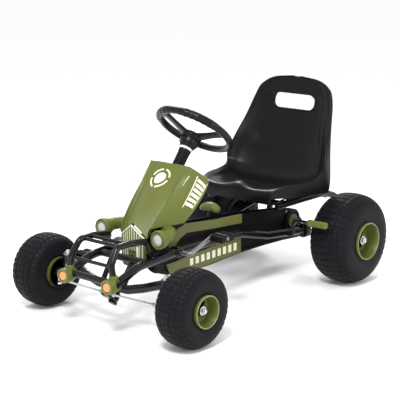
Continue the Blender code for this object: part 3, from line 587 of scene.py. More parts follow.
# ---------------------------------------------------------------- lamps
def make_lamps():
    """The marker lamps on the bumper and the headlights on their arms."""
    for word, side in SIDES:
        lamp = Vector((side * LAMP_X, -0.499, LAMP_Z))
        cup = spun([(-0.043, 0.013), (-0.0405, 0.0165), (-0.034, 0.019), (-0.018, 0.0205),
                    (-0.003, 0.0208), (0.0, 0.0202), (0.0004, 0.0186), (-0.0008, 0.015),
                    (-0.004, 0.0132), (-0.005, 0.005)], lamp, -Y, 48)
        hoop_foot = Vector((side * LAMP_X, BUMPER_Y, 0))
        collar = spun([(0.161, 0.0128), (0.1735, 0.0125), (0.1752, 0.0112)], hoop_foot, Z, 32)
        piece(f"{word}_lamp_cup", [cup, collar], OLIVE, "chassis", f"{word}_marker_lamp")
        # The flange takes the lighter olive: a painted highlight round the lamp's mouth.
        flange = spun([(0.0003, 0.015), (0.0016, 0.0152), (0.0018, 0.0172), (0.0003, 0.0178)],
                      lamp, -Y, 48, closed=True)
        piece(f"{word}_lamp_flange", flange, OLIVE_LIT, "chassis")
        glass = spun([(-0.0047, 0.0125), (-0.0008, 0.0124), (0.0006, 0.0112), (0.001, 0.008),
                      (0.0004, 0.006), (0.001, 0.0035)], lamp, -Y, 40)
        piece(f"{word}_amber_glass", glass, AMBER, "chassis", f"{word}_marker_lens")

        pod_at = Vector((side * HEADLIGHT.x, HEADLIGHT.y, HEADLIGHT.z))
        pod = spun([(-0.0345, 0.012), (-0.032, 0.0175), (-0.025, 0.0225), (-0.014, 0.025),
                    (-0.004, 0.0262), (-0.001, 0.0258), (0.0002, 0.0246), (0.0002, 0.0222),
                    (-0.002, 0.0205), (-0.0022, 0.0168), (-0.0035, 0.0152), (-0.0052, 0.006)],
                   pod_at, -Y, 56)
        path = rounded_path(sided(side, (0.106, -0.312, 0.245), (0.1045, -0.282, 0.2475),
                                  (0.092, -0.256, 0.249), (0.064, -0.249, 0.249)), 0.03, 8)
        radii = [0.018 - 0.0015 * i / (len(path) - 1) for i in range(len(path))]
        arm = swept(path, radii, 28)
        piece(f"{word}_headlight_shell", [pod, arm], OLIVE, "chassis", f"{word}_headlight")
        # The bezel takes the lighter olive: a painted highlight round the lens.
        bezel = spun([(-0.0021, 0.015), (0.0006, 0.0152), (0.0012, 0.0165), (0.0006, 0.018),
                      (-0.0021, 0.0182)], pod_at, -Y, 48, closed=True)
        piece(f"{word}_headlight_bezel", bezel, OLIVE_LIT, "chassis")
        glass = spun([(-0.0047, 0.0145), (-0.001, 0.0145), (0.0006, 0.0125), (0.0012, 0.007),
                      (0.0013, 0.002)], pod_at, -Y, 40)
        piece(f"{word}_headlight_glass", glass, CLEAR, "chassis", f"{word}_headlight_lens")


# ---------------------------------------------------------------- hood and grille
# Half of the hood's lower and upper edge, from the middle to the side: x, y, z.
HOOD_LOW = ((0.0, -0.3105, 0.272), (0.025, -0.31, 0.254), (0.0475, -0.307, 0.235),
            (0.055, -0.301, 0.262), (0.075, -0.244, 0.2635), (0.083, -0.209, 0.2635),
            (0.086, -0.196, 0.2635))
HOOD_HIGH = ((0.0, -0.156, 0.414), (0.028, -0.157, 0.4145), (0.05, -0.157, 0.414),
             (0.064, -0.156, 0.413), (0.0765, -0.152, 0.409), (0.0885, -0.104, 0.373),
             (0.0905, -0.101, 0.354))
CREASE = 0.64  # where the front turns into the side, as a share of the half width


def both_halves(points):
    """A half edge's points with their mirror images before them."""
    return [(-x, y, z) for x, y, z in reversed(points[1:])] + list(points)


def hood_point(across, up):
    """A point on the hood: across from -1 to 1 over its width, up from 0 at the nose to 1."""
    t = (across + 1) / 2
    straight = abs(across) * (len(HOOD_LOW) - 1)
    i = min(int(straight), len(HOOD_LOW) - 2)
    low = Vector(through(both_halves(HOOD_LOW), t))
    low.z = Vector(HOOD_LOW[i]).lerp(Vector(HOOD_LOW[i + 1]), straight - i).z
    high = Vector(through(both_halves(HOOD_HIGH), t))
    point = low.lerp(high, up)
    away = Vector((point.x, point.y + 0.2, 0)).normalized()
    point += away * (0.006 * math.sin(math.pi * up))
    ridge = math.exp(-((abs(across) - CREASE) / 0.035) ** 2) * eased(up, 0.3, 0.95)
    return point + Vector((0, -1, 0.5)).normalized() * 0.003 * ridge


def hood_normal(across, up):
    """The outward direction of the hood there."""
    step = 0.01
    du = hood_point(min(across + step, 1), up) - hood_point(max(across - step, -1), up)
    dv = hood_point(across, min(up + step, 1)) - hood_point(across, max(up - step, 0))
    return du.cross(dv).normalized()


def on_hood(across, up, lift):
    """A point that stands off the hood by the lift."""
    return hood_point(across, up) + hood_normal(across, up) * lift


def hood_patch(corners, steps, lift):
    """A thin print on the hood, over a patch given by four (across, up) corners."""
    first, second, third, fourth = (Vector(corner) for corner in corners)
    rings = []
    for i in range(steps + 1):
        start, end = first.lerp(fourth, i / steps), second.lerp(third, i / steps)
        places = [start.lerp(end, k / 6) for k in range(7)]
        rings.append([on_hood(*place, lift) for place in places]
                     + [on_hood(*place, -0.0004) for place in reversed(places)])
    return loft(rings)


def hood_place(x, z):
    """The (across, up) of the hood point at the given x and z."""
    across, up, step = 0.0, 0.7, 0.001
    for _ in range(8):
        here = hood_point(across, up)
        across += (x - here.x) * step / (hood_point(across + step, up).x - here.x)
        here = hood_point(across, up)
        up += (z - here.z) * step / (hood_point(across, up + step).z - here.z)
    return across, up


def hood_spot(inner, outer, start, end, radius=0.032, lift=0.0014):
    """A sector of the round mark on the hood, between two radii and two angles."""
    centre, slope = hood_point(-0.02, 0.745), 0.678
    rings = []
    for i in range(25):
        angle = start + (end - start) * i / 24
        places = []
        for k in range(6):
            reach = radius * (inner + (outer - inner) * k / 5)
            places.append(hood_place(centre.x + reach * math.cos(angle),
                                     centre.z + reach * slope * math.sin(angle)))
        rings.append([on_hood(*place, lift) for place in places]
                     + [on_hood(*place, -0.0006) for place in reversed(places)])
    return loft(rings)


def make_hood():
    """The hood's shell, and the cream ring, disc, bars and lines on it."""
    columns, rows = 96, 32
    grid = [[hood_point(2 * k / columns - 1, i / rows) for k in range(columns + 1)]
            for i in range(rows + 1)]
    inner = [[point - hood_normal(2 * k / columns - 1, i / rows) * 0.003
              for k, point in enumerate(row)] for i, row in enumerate(grid)]
    rings = [out + list(reversed(back)) for out, back in zip(grid, inner)]
    hood = piece("hood_shell", loft(rings), OLIVE, "chassis", "hood", sharp=30)
    edge = hood.modifiers.new("edge", "BEVEL")
    edge.width, edge.segments, edge.limit_method = 0.0011, 2, "ANGLE"
    edge.angle_limit = math.radians(50)

    marks = [hood_spot(0.84, 1.0, math.radians(90 * k + 10), math.radians(90 * k + 80))
             for k in range(4)]
    marks.append(hood_spot(0.02, 0.56, 0, TAU))
    for side in (1, -1):
        def patch(*corners, steps=8, lift=0.0016):
            marks.append(hood_patch([(side * across, up) for across, up in corners], steps, lift))

        for k in range(6):
            low, high, shift = 0.34 + 0.092 * k, 0.4 + 0.092 * k, 0.005 * k
            patch((0.725 + shift, low + 0.035), (0.835 + shift, low), (0.838 + shift, high),
                  (0.728 + shift, high + 0.035))
        for line in (0.708, 0.846):
            patch((line, 0.33), (line + 0.008, 0.33), (line + 0.036, 0.925), (line + 0.028, 0.925),
                  steps=14)
        patch((0.6, 0.67), (0.607, 0.67), (0.662, 0.85), (0.655, 0.85), lift=0.0028)
    piece("hood_marks", marks, CREAM, "chassis")


def make_grille():
    """The peaked panel, its ribs and cream edges, a cream bar that paints a highlight, and the boot
    where the shaft passes it.
    """
    def front(x):
        return -0.3105 - 0.006 + 0.006 * (x / 0.0455) ** 2

    def top(x):
        return 0.2688 - (0.2688 - 0.2345) * abs(x) / 0.0455

    xs = [-0.0455 + 0.0035 * i for i in range(27)]
    rings = []
    for x in xs:
        low = 0.148 if abs(x) < 0.036 else 0.148 + (abs(x) - 0.036) * 0.85
        y = front(x)
        rings.append([Vector((x, y, low)), Vector((x, y, top(x))),
                      Vector((x, y + 0.0034, top(x))), Vector((x, y + 0.0034, low))])
    # The panel behind the ribs takes the darker olive: painted shade in the grille's recess.
    piece("grille_panel", loft(rings), OLIVE_SHADED, "chassis", "grille")
    ribs, lights = [], []
    for k in range(9):
        x = -0.0352 + 0.0088 * k
        y = front(x)
        low = 0.16 if abs(x) > 0.012 else 0.196
        high = top(x) - 0.006
        ribs.append(block((x - 0.0021, y - 0.0032, low), (x + 0.0016, y + 0.001, high), 0.001, 2))
        lights.append(block((x + 0.0014, y - 0.0034, low), (x + 0.0027, y + 0.001, high), 0.0004, 1))
    piece("grille_ribs", ribs, OLIVE, "chassis")
    for side in (1, -1):
        path = [Vector((side * x, front(x) - 0.0014, top(x) - 0.0022))
                for x in (0.0, 0.01, 0.02, 0.03, 0.04, 0.044)]
        lights.append(swept(path, 0.0021, 8))
    # A cream bar right of the middle: a painted highlight on the grille's curve.
    lights.append(block((0.018, front(0.022) - 0.004, 0.16), (0.0262, front(0.022), 0.208), 0.001, 2))
    piece("grille_edges_and_highlight", lights, CREAM, "chassis")
    boot = spun([(0.101, 0.0074), (0.101, 0.0135), (0.104, 0.015), (0.109, 0.015),
                 (0.113, 0.0125), (0.13, 0.0105), (0.132, 0.0074)], FOOT, UP_COLUMN, 36,
                closed=True)
    piece("shaft_boot", boot, CASE, "chassis")


# ---------------------------------------------------------------- steering
def make_column():
    """The fixed tube round the shaft, and its white collar."""
    tube = [(0.215, 0.0085), (0.215, 0.016), (0.217, 0.017), (0.452, 0.017), (0.4535, 0.0178),
            (0.461, 0.0178), (0.462, 0.017), (0.462, 0.0085)]
    piece("column_sleeve", spun(tube, FOOT, UP_COLUMN, 48, closed=True), CASE, "chassis",
          "steering_column_tube")
    collar = [(0.4623, 0.0085), (0.4623, 0.0188), (0.463, 0.0196), (0.465, 0.0196),
              (0.4655, 0.0186), (0.4662, 0.0186), (0.4667, 0.0196), (0.4684, 0.0196),
              (0.469, 0.0188), (0.469, 0.0085)]
    piece("collar_ring", spun(collar, FOOT, UP_COLUMN, 48, closed=True), WHITE, "chassis",
          "column_collar")


def make_shaft():
    """The steering shaft with the pitman plate and the track rods' pins at its foot."""
    shaft = [bar(on_column(-0.016), on_column(0.5), 0.007, 24)]
    corners = [(-0.01, -0.004), (0.01, -0.004), (0.016, 0.034), (0.014, 0.042),
               (-0.014, 0.042), (-0.016, 0.034)]
    shaft.append(loft([[on_column(s, f, x) for x, f in corners] for s in (-0.015, -0.01)]))
    shaft.append(spun([(-0.022, 0.0105), (-0.02, 0.013), (-0.0155, 0.013)], FOOT, UP_COLUMN, 32))
    shaft.append(spun([(-0.0095, 0.0125), (0.008, 0.0118), (0.012, 0.008)], FOOT, UP_COLUMN, 32))
    piece("column_shaft", shaft, FRAME, "steering", "steering_shaft")
    pins = []
    for _, side in SIDES:
        pins += hex_bolt(on_column(-0.01, 0.034, side * 0.0075) - UP_COLUMN * 0.0052, -UP_COLUMN,
                         0.004, 0.003, False)
    piece("pitman_bolts", pins, ZINC, "steering")


def wheel_rim():
    """The wheel's rim, with finger grips on two of the arcs between its spokes."""
    major, minor, around, sides, ridges = 0.1075, 0.0104, 216, 22, 36
    rings = []
    for i in range(around):
        angle = TAU * i / around
        degrees = math.degrees(angle)
        grip = max(eased(degrees, 196, 206) * (1 - eased(degrees, 254, 264)),
                   eased(degrees, 276, 286) * (1 - eased(degrees, 334, 344)))
        wave = 0.5 + 0.5 * math.cos(angle * ridges)
        out = math.cos(angle) * X - math.sin(angle) * AHEAD
        row = []
        for turn in circle(sides):
            below = max(-math.sin(turn), 0) * 0.7 + max(math.cos(turn), 0) * 0.5
            size = minor + grip * (0.001 + 0.0016 * wave * min(below, 1))
            row.append(on_column(0.53) + out * (major + size * math.cos(turn))
                       + UP_COLUMN * size * math.sin(turn))
        rings.append(row)
    return loft(rings, wrap=True)


def wheel_spoke(angle):
    """A spoke that narrows towards its middle."""
    def squarish(value):
        return math.copysign(abs(value) ** 0.6, value)

    out = math.cos(angle) * X - math.sin(angle) * AHEAD
    across = UP_COLUMN.cross(out)
    rings = []
    for distance, height, width, thick in ((0.018, 0.508, 0.0185, 0.0065),
                                           (0.032, 0.511, 0.016, 0.0056),
                                           (0.06, 0.518, 0.013, 0.0048),
                                           (0.085, 0.524, 0.013, 0.0048),
                                           (0.099, 0.5275, 0.0155, 0.0058),
                                           (0.106, 0.529, 0.0175, 0.0064)):
        middle = on_column(height) + distance * out
        rings.append([middle + width * squarish(math.cos(turn)) * across
                      + thick * squarish(math.sin(turn)) * UP_COLUMN for turn in circle(20)])
    return loft(rings)


def make_steering_wheel():
    """Hub, rim and three spokes, and the screw in the hub."""
    hub = spun([(0.4697, 0.0075), (0.4697, 0.0205), (0.4705, 0.0215), (0.479, 0.0235),
                (0.4796, 0.0262), (0.4815, 0.027), (0.4985, 0.0288), (0.5, 0.028),
                (0.501, 0.029), (0.5085, 0.0302), (0.513, 0.0292), (0.5165, 0.023),
                (0.5185, 0.012), (0.519, 0.0075), (0.515, 0.006), (0.5012, 0.004)],
               FOOT, UP_COLUMN, 56)
    spokes = [wheel_spoke(math.radians(120 * number)) for number in range(3)]
    piece("wheel_moulding", [hub, wheel_rim()] + spokes, GRIP, "steering", "steering_wheel")
    cap = [(0.5188, 0.009), (0.5205, 0.0088), (0.5212, 0.0075), (0.5205, 0.004)]
    piece("wheel_screw", spun(cap, FOOT, UP_COLUMN, 32), ZINC, "steering")


def make_knuckles():
    """The kingpins with their stub axles and steering arms."""
    for word, side in SIDES:
        pin, out = Vector((side * KINGPIN_X, FRONT_Y, 0.0)), X * side
        body = f"{word}_steering_knuckle"
        parts = [spun([(0.086, 0.0095), (0.0868, 0.0125), (0.0885, 0.014), (0.1262, 0.014),
                       (0.128, 0.013), (0.1292, 0.011), (0.1292, 0.0065), (0.165, 0.0065),
                       (0.165, 0.0125), (0.1662, 0.0125), (0.1664, 0.005)], pin, Z, 40)]
        parts.append(loft([ring(pin + Z * h, Z, r, 6)
                           for h, r in ((0.1662, 0.0095), (0.171, 0.0095), (0.1726, 0.008))]))
        parts.append(spun([(0.172, 0.0055), (0.1755, 0.0055), (0.1765, 0.0045)], pin, Z, 24))
        axle = Vector((0, FRONT_Y, FRONT["radius"]))
        nut = FRONT["x"] + 0.037
        parts.append(spun([(0.189, 0.0105), (0.202, 0.01), (0.2045, 0.0076), (nut, 0.0075)],
                          axle, out, 32))
        arm = [pin + Vector((0, -0.006, 0.089)), pin + Vector((0, -0.022, 0.089)),
               pin + Vector((0, -0.034, 0.089))]
        parts.append(swept(arm, [0.0078, 0.0068, 0.0068], 20, flat=0.4))
        parts.append(spun([(0.0865, 0.007), (0.0915, 0.007)], pin + Vector((0, -0.034, 0)), Z, 28))
        piece(f"{word}_knuckle_forging", parts, ZINC, body, f"{word}_knuckle")
        bits = hex_bolt(axle + out * nut, out, 0.0088, 0.0062)
        bits.append(spun([(0.007, 0.0052), (0.0105, 0.005), (0.0112, 0.004)],
                         axle + out * nut, out, 24))
        piece(f"{word}_stub_nut", bits, ZINC, body)


def make_track_rods():
    """The rods with their eyes, and the hexagons they are turned by."""
    for word, side in SIDES:
        out = X * side
        inner = on_column(-0.006, 0.034)
        start = inner + out * 0.0075
        end = Vector((side * KINGPIN_X, inner.y, inner.z + 0.003))
        rods = [bar(start + out * 0.003, end - out * 0.003, 0.0032, 18)]
        rods.append(spun([(-0.0036, 0.0052), (-0.0026, 0.006), (0.0026, 0.006), (0.0036, 0.0052)],
                         start, UP_COLUMN, 24))
        rods.append(spun([(-0.004, 0.0058), (-0.003, 0.0068), (0.003, 0.0068), (0.004, 0.0058)],
                         end, Z, 24))
        for place in (start + out * 0.016, end - out * 0.018):
            rods.append(loft([ring(place + out * d, out, 0.0056, 6) for d in (-0.003, 0.003)]))
        piece(f"{word}_track_rod_bar", rods, ZINC, f"{word}_track_rod", f"{word}_tie_rod")


# ---------------------------------------------------------------- drive
def make_rear_axle():
    """The live axle with its end nuts and its sprocket."""
    centre = Vector((0, REAR_Y, REAR["radius"]))
    start = REAR["x"] + 0.0503
    shaft = [bar(centre - X * (start + 0.002), centre + X * (start + 0.002), 0.0075, 28)]
    nuts = []
    for _, side in SIDES:
        place = centre + X * side * start
        nuts += hex_bolt(place, X * side, 0.0098, 0.0068)
        nuts.append(spun([(0.007, 0.0056), (0.0102, 0.0054), (0.011, 0.0042)], place, X * side, 24))
    piece("axle_shaft", shaft + nuts, ZINC, "rear_axle_and_wheels", "rear_axle")
    piece("axle_sprocket", toothed(centre + X * 0.046, 0.0196, 12, 0.0078, 0.013),
          STEEL, "rear_axle_and_wheels", "rear_sprocket")


def toothed(centre, radius, teeth, bore, boss):
    """A sprocket: a toothed plate with a boss."""
    outline, inner = [], []
    tooth, half = 0.0028, X * 0.0015
    for angle in circle(teeth * 8):
        wave = 0.5 + 0.5 * math.cos(angle * teeth)
        outline.append(centre + (radius - tooth * (1 - wave ** 0.7)) * around_x(angle))
        inner.append(centre + bore * around_x(angle))
    plate = loft([[point - half for point in inner], [point - half for point in outline],
                  [point + half for point in outline], [point + half for point in inner]], wrap=True)
    hub = spun([(0.0014, bore), (0.0014, boss), (0.0085, boss - 0.001), (0.0088, bore)], centre, X, 40,
               closed=True)
    return [plate, hub]


CHAIN_X, PITCH = 0.046, 0.0127


def chain_loop():
    """The chain's path round both sprockets, closed by its first point."""
    front, back = Vector((CHAIN_X, CRANK.y, CRANK.z)), Vector((CHAIN_X, REAR_Y, REAR["radius"]))
    big, small = 0.0555, 0.0225
    apart = back - front
    heading = math.atan2(apart.z, apart.y)
    lean = math.acos((big - small) / apart.length)
    path = [front + big * around_x(heading + lean + (TAU - 2 * lean) * i / 24) for i in range(25)]
    path += [back + small * around_x(heading - lean + 2 * lean * i / 12) for i in range(13)]
    return path + path[:1]


def evenly_along(path, pitch):
    """Points about a pitch apart on a closed path, an even number of them."""
    lengths = [0.0]
    for start, end in zip(path, path[1:]):
        lengths.append(lengths[-1] + (end - start).length)
    count = 2 * round(lengths[-1] / pitch / 2)
    points, k = [], 0
    for i in range(count):
        want = lengths[-1] * i / count
        while lengths[k + 1] < want:
            k += 1
        points.append(path[k].lerp(path[k + 1], (want - lengths[k]) / (lengths[k + 1] - lengths[k])))
    return points


def make_chain():
    """Roller chain: rollers joined by inner and outer plates in turn."""
    pins = evenly_along(chain_loop(), PITCH)
    parts = []
    for i, pin in enumerate(pins):
        after = pins[(i + 1) % len(pins)]
        along = (after - pin).normalized()
        up = along.cross(X)
        parts.append(loft([ring(pin + X * x, X, 0.0028, 8) for x in (-0.0032, 0.0032)]))
        outline = []
        for centre, turn in ((pin, math.pi / 2), (after, -math.pi / 2)):
            for s in range(5):
                a = turn + math.pi * s / 4
                outline.append(centre + 0.0042 * (math.cos(a) * along + math.sin(a) * up))
        inside = 0.0026 if i % 2 else 0.0016
        for side in (1, -1):
            parts.append(loft([[point + X * side * x for point in outline]
                               for x in (inside, inside + 0.0009)]))
    piece("roller_chain", parts, STEEL, "chassis", "drive_chain")


# ---------------------------------------------------------------- chain guard
# The guard's edges as y, z: the upper one from front to rear, the lower one from rear to front.
GUARD_TOP = ((-0.17, 0.254), (-0.1, 0.247), (0.08, 0.235), (0.195, 0.221), (0.27, 0.2125),
             (0.315, 0.2105), (0.346, 0.195), (0.374, 0.17), (0.3915, 0.153), (0.397, 0.136),
             (0.392, 0.118), (0.38, 0.1065), (0.364, 0.103))
GUARD_BOTTOM = ((0.29, 0.1085), (0.196, 0.112), (0.077, 0.113), (-0.05, 0.106), (-0.19, 0.106))


def guard_outline(inset=0.0):
    """The guard's outline, moved inwards by the inset."""
    arc = [math.radians(d) for d in range(247, 69, -8)]
    outline = [Vector((CRANK.y, CRANK.z)) + 0.072 * Vector((math.cos(a), math.sin(a))) for a in arc]
    outline += [Vector(point) for point in GUARD_TOP + GUARD_BOTTOM]
    moved = []
    for before, point, after in zip(outline[-1:] + outline, outline, outline[1:] + outline[:1]):
        into, out_of = (point - before).normalized(), (after - point).normalized()
        normals = Vector((into.y, -into.x)), Vector((out_of.y, -out_of.x))
        middle = (normals[0] + normals[1]).normalized()
        moved.append(point + middle * inset / middle.dot(normals[0]))
    return moved


def upright(outline, x):
    """Points of (y, z), stood up at x."""
    return [Vector((x, point.x, point.y)) for point in outline]


def ribbon(top, bottom, thickness):
    """A raised strip on the guard between two edges of (y, z) points, both front to rear."""
    chamfer, foot, face = 0.001, GUARD_OUT - 0.0006, GUARD_OUT + thickness
    rings = []
    for low, high in zip(bottom, top):
        low, high = Vector(low), Vector(high)
        inward = (high - low).normalized() * chamfer
        rings.append([Vector((x, *point)) for x, point in (
            (foot, low), (face - chamfer, low), (face, low + inward), (face, high - inward),
            (face - chamfer, high), (foot, high))])
    return loft(rings)


def make_guard_case():
    """The two halves of the case, bored for the crank and the rear axle."""
    shell = loft([upright(guard_outline(inset), x) for x, inset in (
        (0.034, 0.0), (0.0575, 0.0), (0.0592, 0.0006), (GUARD_OUT, 0.0022), (0.058, 0.004),
        (0.034, 0.0022))], wrap=True)
    face = loft([upright(guard_outline(0.0022), x) for x in (0.058, GUARD_OUT)])
    near, far = guard_outline(0.0045), guard_outline(0.0105)
    foot, top = GUARD_OUT - 0.0005, GUARD_OUT + 0.0016
    border = loft([[Vector((foot, *a)), Vector((top, *a)), Vector((top, *b)), Vector((foot, *b))]
                   for a, b in zip(near, far)], wrap=True)
    cover = piece("guard_case", [shell, face, border], CASE, "chassis", "chain_guard_cover")
    inside = loft([upright(guard_outline(), x) for x in (0.0317, 0.0337)])
    back = piece("guard_back_plate", inside, CASE, "chassis", "chain_guard_back")
    for half, x in ((cover, 0.059), (back, 0.033)):
        holes = [Vector((x, CRANK.y, CRANK.z)), Vector((x, REAR_Y, REAR["radius"]))]
        drill(half, holes, X, 0.0112, 0.012)


def make_guard_looks():
    """The drum with its green cap, the two green strips, the cream bars and the screws."""
    drum_at = Vector((GUARD_OUT, 0.333, 0.165))
    drum = spun([(-0.018, 0.0345), (-0.016, 0.0362), (0.0014, 0.0362), (0.003, 0.0345),
                 (0.003, 0.025), (0.0014, 0.0238), (0.0014, 0.0212), (0.0, 0.0206)], drum_at, X, 56)
    piece("guard_drum", drum, CASE, "chassis")
    # The cap takes the lighter olive: its face is painted lit.
    cap = spun([(0.0003, 0.0205), (0.0042, 0.0205), (0.0056, 0.0195), (0.006, 0.0175),
                (0.0052, 0.0062), (0.0046, 0.0036), (0.002, 0.003)], drum_at, X, 48)
    piece("guard_disc", cap, OLIVE_LIT, "chassis", "guard_cap")
    piece("guard_disc_eye", spun([(0.0045, 0.0034), (0.0054, 0.0032)], drum_at, X, 20), HOLE,
          "chassis")
    upper_top = [(-0.236, 0.2125), (-0.222, 0.23), (-0.2, 0.244), (-0.166, 0.2508),
                 (-0.1, 0.2445), (-0.037, 0.2385), (0.03, 0.2355), (0.081, 0.2325)]
    upper_low = [(-0.236, 0.18), (-0.217, 0.19), (-0.19, 0.213), (-0.16, 0.2245),
                 (-0.103, 0.219), (-0.037, 0.213), (0.03, 0.209), (0.081, 0.205)]
    piece("guard_upper_strip", ribbon(upper_top, upper_low, 0.0036), OLIVE_STRIP, "chassis")
    lower_top = [(-0.247, 0.151), (-0.215, 0.152), (-0.16, 0.156), (-0.08, 0.16),
                 (0.0, 0.163), (0.077, 0.165)]
    lower_low = [(-0.235, 0.124), (-0.215, 0.115), (-0.16, 0.111), (-0.08, 0.112),
                 (0.0, 0.115), (0.077, 0.1185)]
    piece("guard_lower_strip", ribbon(lower_top, lower_low, 0.0036), OLIVE_STRIP, "chassis")
    marks = []
    for k in range(9):
        y = -0.15 + 0.024 * k
        low, high = 0.1265 + 0.0002 * k, 0.1475 + 0.0006 * k
        marks.append(ribbon([(y, high), (y + 0.014, high)], [(y, low), (y + 0.014, low)], 0.0042))
    piece("guard_marks", marks, CREAM, "chassis")
    screws = []
    for y, z in ((0.298, 0.199), (-0.19, 0.17)):
        screws += hex_bolt(Vector((GUARD_OUT + 0.0014, y, z)), X, 0.003, 0.0018)
    piece("guard_screws", screws, ZINC, "chassis")


def make_crank():
    """The bent crank with its chain ring and two pedals."""
    axis = CRANK
    throw = CRANK_THROW * Vector((0, math.cos(CRANK_PHASE), math.sin(CRANK_PHASE)))
    left, right = axis + throw, axis - throw
    tip = PEDAL_X[1] + 0.0005
    path = rounded_path([right - X * tip, right - X * 0.142, axis - X * 0.138, axis + X * 0.138,
                         left + X * 0.142, left + X * tip], 0.009, 8)
    piece("crank_rod", swept(path, 0.006, 22, ends=0.001), STEEL, "crank", "crankshaft")
    piece("crank_sprocket", toothed(axis + X * 0.046, 0.0515, 33, 0.0063, 0.013), STEEL, "crank",
          "chain_ring")
    for (word, side), spindle in zip(SIDES, (left, right)):
        make_pedal(word, side, spindle)


def make_pedal(word, side, spindle):
    """A pedal: two treads with five ribs each, end bars and a barrel."""
    x_from, x_to = sorted((side * PEDAL_X[0], side * PEDAL_X[1]))
    long = x_to - x_from
    parts = []

    def add(x_low, x_high, y_low, y_high, z_low, z_high, rounding, segments):
        low, high = Vector((x_low, y_low, z_low)), Vector((x_high, y_high, z_high))
        offset = Vector((0, spindle.y, spindle.z))
        parts.append(block(low + offset, high + offset, rounding, segments))

    for y in (-0.0225, 0.0225):
        add(x_from, x_to, y - 0.0035, y + 0.0035, -0.0085, 0.0085, 0.0015, 2)
    for x in (x_from + 0.003, x_to - 0.003):
        for y_low, y_high in ((-0.0225, -0.0085), (0.0085, 0.0225)):
            add(x - 0.003, x + 0.003, y_low, y_high, -0.008, 0.008, 0.0012, 2)
    parts.append(spun(sleeve(0, long, 0.0069, 0.0108, 0.001, 0.001),
                      Vector((x_from, spindle.y, spindle.z)), X, 32, closed=True))
    for k in range(5):
        x = x_from + 0.0065 + k * (long - 0.013) / 4
        for y in (-0.0165, 0.0165):
            for z_low in (0.0044, -0.0108):
                add(x - 0.0014, x + 0.0014, y - 0.0075, y + 0.0075, z_low, z_low + 0.0064, 0.0006, 1)
    piece(f"{word}_pedal_moulding", parts, CASE, f"{word}_foot_pedal", f"{word}_pedal")


# ---------------------------------------------------------------- levers
def make_hand_brake():
    """The bent rod and its ribbed handle."""
    y, z = 0.2115, 0.205
    pivot = Vector((0.12, 0.232, 0.15))
    path = rounded_path([pivot - X * 0.0174, pivot + X * 0.02, Vector((0.15, y + 0.004, z - 0.016)),
                         Vector((0.166, y, z)), Vector((0.2087, y, z))], 0.012, 8)
    piece("brake_rod", swept(path, 0.0042, 18), FRAME, "hand_brake", "brake_lever")
    profile = [(0.2088, 0.0055), (0.2092, 0.0078), (0.2105, 0.0094), (0.214, 0.0097)]
    for k in range(6):
        place = 0.218 + 0.0082 * k
        profile += [(place, 0.0101), (place + 0.003, 0.0096), (place + 0.005, 0.0096)]
    profile += [(0.27, 0.0102), (0.2735, 0.0097), (0.2748, 0.0078), (0.2752, 0.004)]
    handle = spun(profile, Vector((0, y, z)), X, 40)
    piece("brake_handle", handle, OLIVE, "hand_brake", "brake_grip")


def make_drive_lever():
    """The short lever with its rounded cross grip."""
    grip = Vector((0, 0.014, 0.257))
    foot = Vector((0, -0.006, 0.2166))
    lever = [bar(foot + Z * 0.0014, grip - Vector((0, 0.003, 0.011)), 0.004, 20)]
    lever.append(spun([(0.0016, 0.0042), (0.0034, 0.0054), (0.006, 0.0042)], foot, grip - foot, 24))
    piece("shift_rod", lever, FRAME, "drive_lever", "shift_lever")
    rings = []
    for s, wide, tall, rise in ((-0.0345, 0.006, 0.0045, -0.006), (-0.033, 0.0105, 0.008, -0.0055),
                                (-0.026, 0.014, 0.011, -0.0035), (-0.014, 0.016, 0.013, 0.0),
                                (0.0, 0.0168, 0.0138, 0.001), (0.014, 0.016, 0.013, 0.0),
                                (0.024, 0.014, 0.011, -0.0035), (0.0288, 0.0105, 0.008, -0.0055),
                                (0.0303, 0.006, 0.0045, -0.006)):
        rings.append([grip + Vector((s, wide * math.cos(turn), tall * math.sin(turn) + rise))
                      for turn in circle(28)])
    piece("shift_knob", loft(rings), OLIVE, "drive_lever", "shift_grip", sharp=60)


# ---------------------------------------------------------------- seat
# Stations from the seat's front edge to its top: y, z, half width, how far the wings stand up.
STATIONS = (
    (0.128, 0.26, 0.128, 0.0), (0.123, 0.288, 0.132, 0.0), (0.138, 0.3015, 0.14, 0.003),
    (0.19, 0.296, 0.158, 0.014), (0.25, 0.287, 0.169, 0.024), (0.306, 0.286, 0.178, 0.034),
    (0.346, 0.305, 0.186, 0.044), (0.37, 0.345, 0.187, 0.05), (0.386, 0.4, 0.176, 0.04),
    (0.4, 0.46, 0.161, 0.022), (0.412, 0.52, 0.147, 0.008), (0.419, 0.556, 0.134, 0.003),
    (0.4225, 0.572, 0.119, 0.0), (0.4255, 0.584, 0.098, 0.0), (0.428, 0.592, 0.068, 0.0),
    (0.4302, 0.5963, 0.014, 0.0),
)
SKIRT = (  # from each station's edge to the foot of its side wall: y, z
    (0.003, 0.0), (0.005, -0.006), (0.003, -0.024), (0.0, -0.036), (0.0, -0.04),
    (0.003, -0.049), (0.022, -0.066), (0.026, -0.06), (0.016, -0.012), (0.009, -0.003),
    (0.008, -0.002), (0.008, -0.002), (0.007, -0.002), (0.006, -0.001), (0.006, -0.001),
    (0.006, -0.001),
)


ROLL = (  # the rolled edge: how far out, how far back, and share of the side wall
    (0.0012, 0.0005, 0), (0.0022, 0.0016, 0), (0.0026, 0.0032, 0.05), (0.0026, 0.0036, 0.35),
    (0.0024, 0.0036, 0.7), (0.002, 0.003, 1),
)


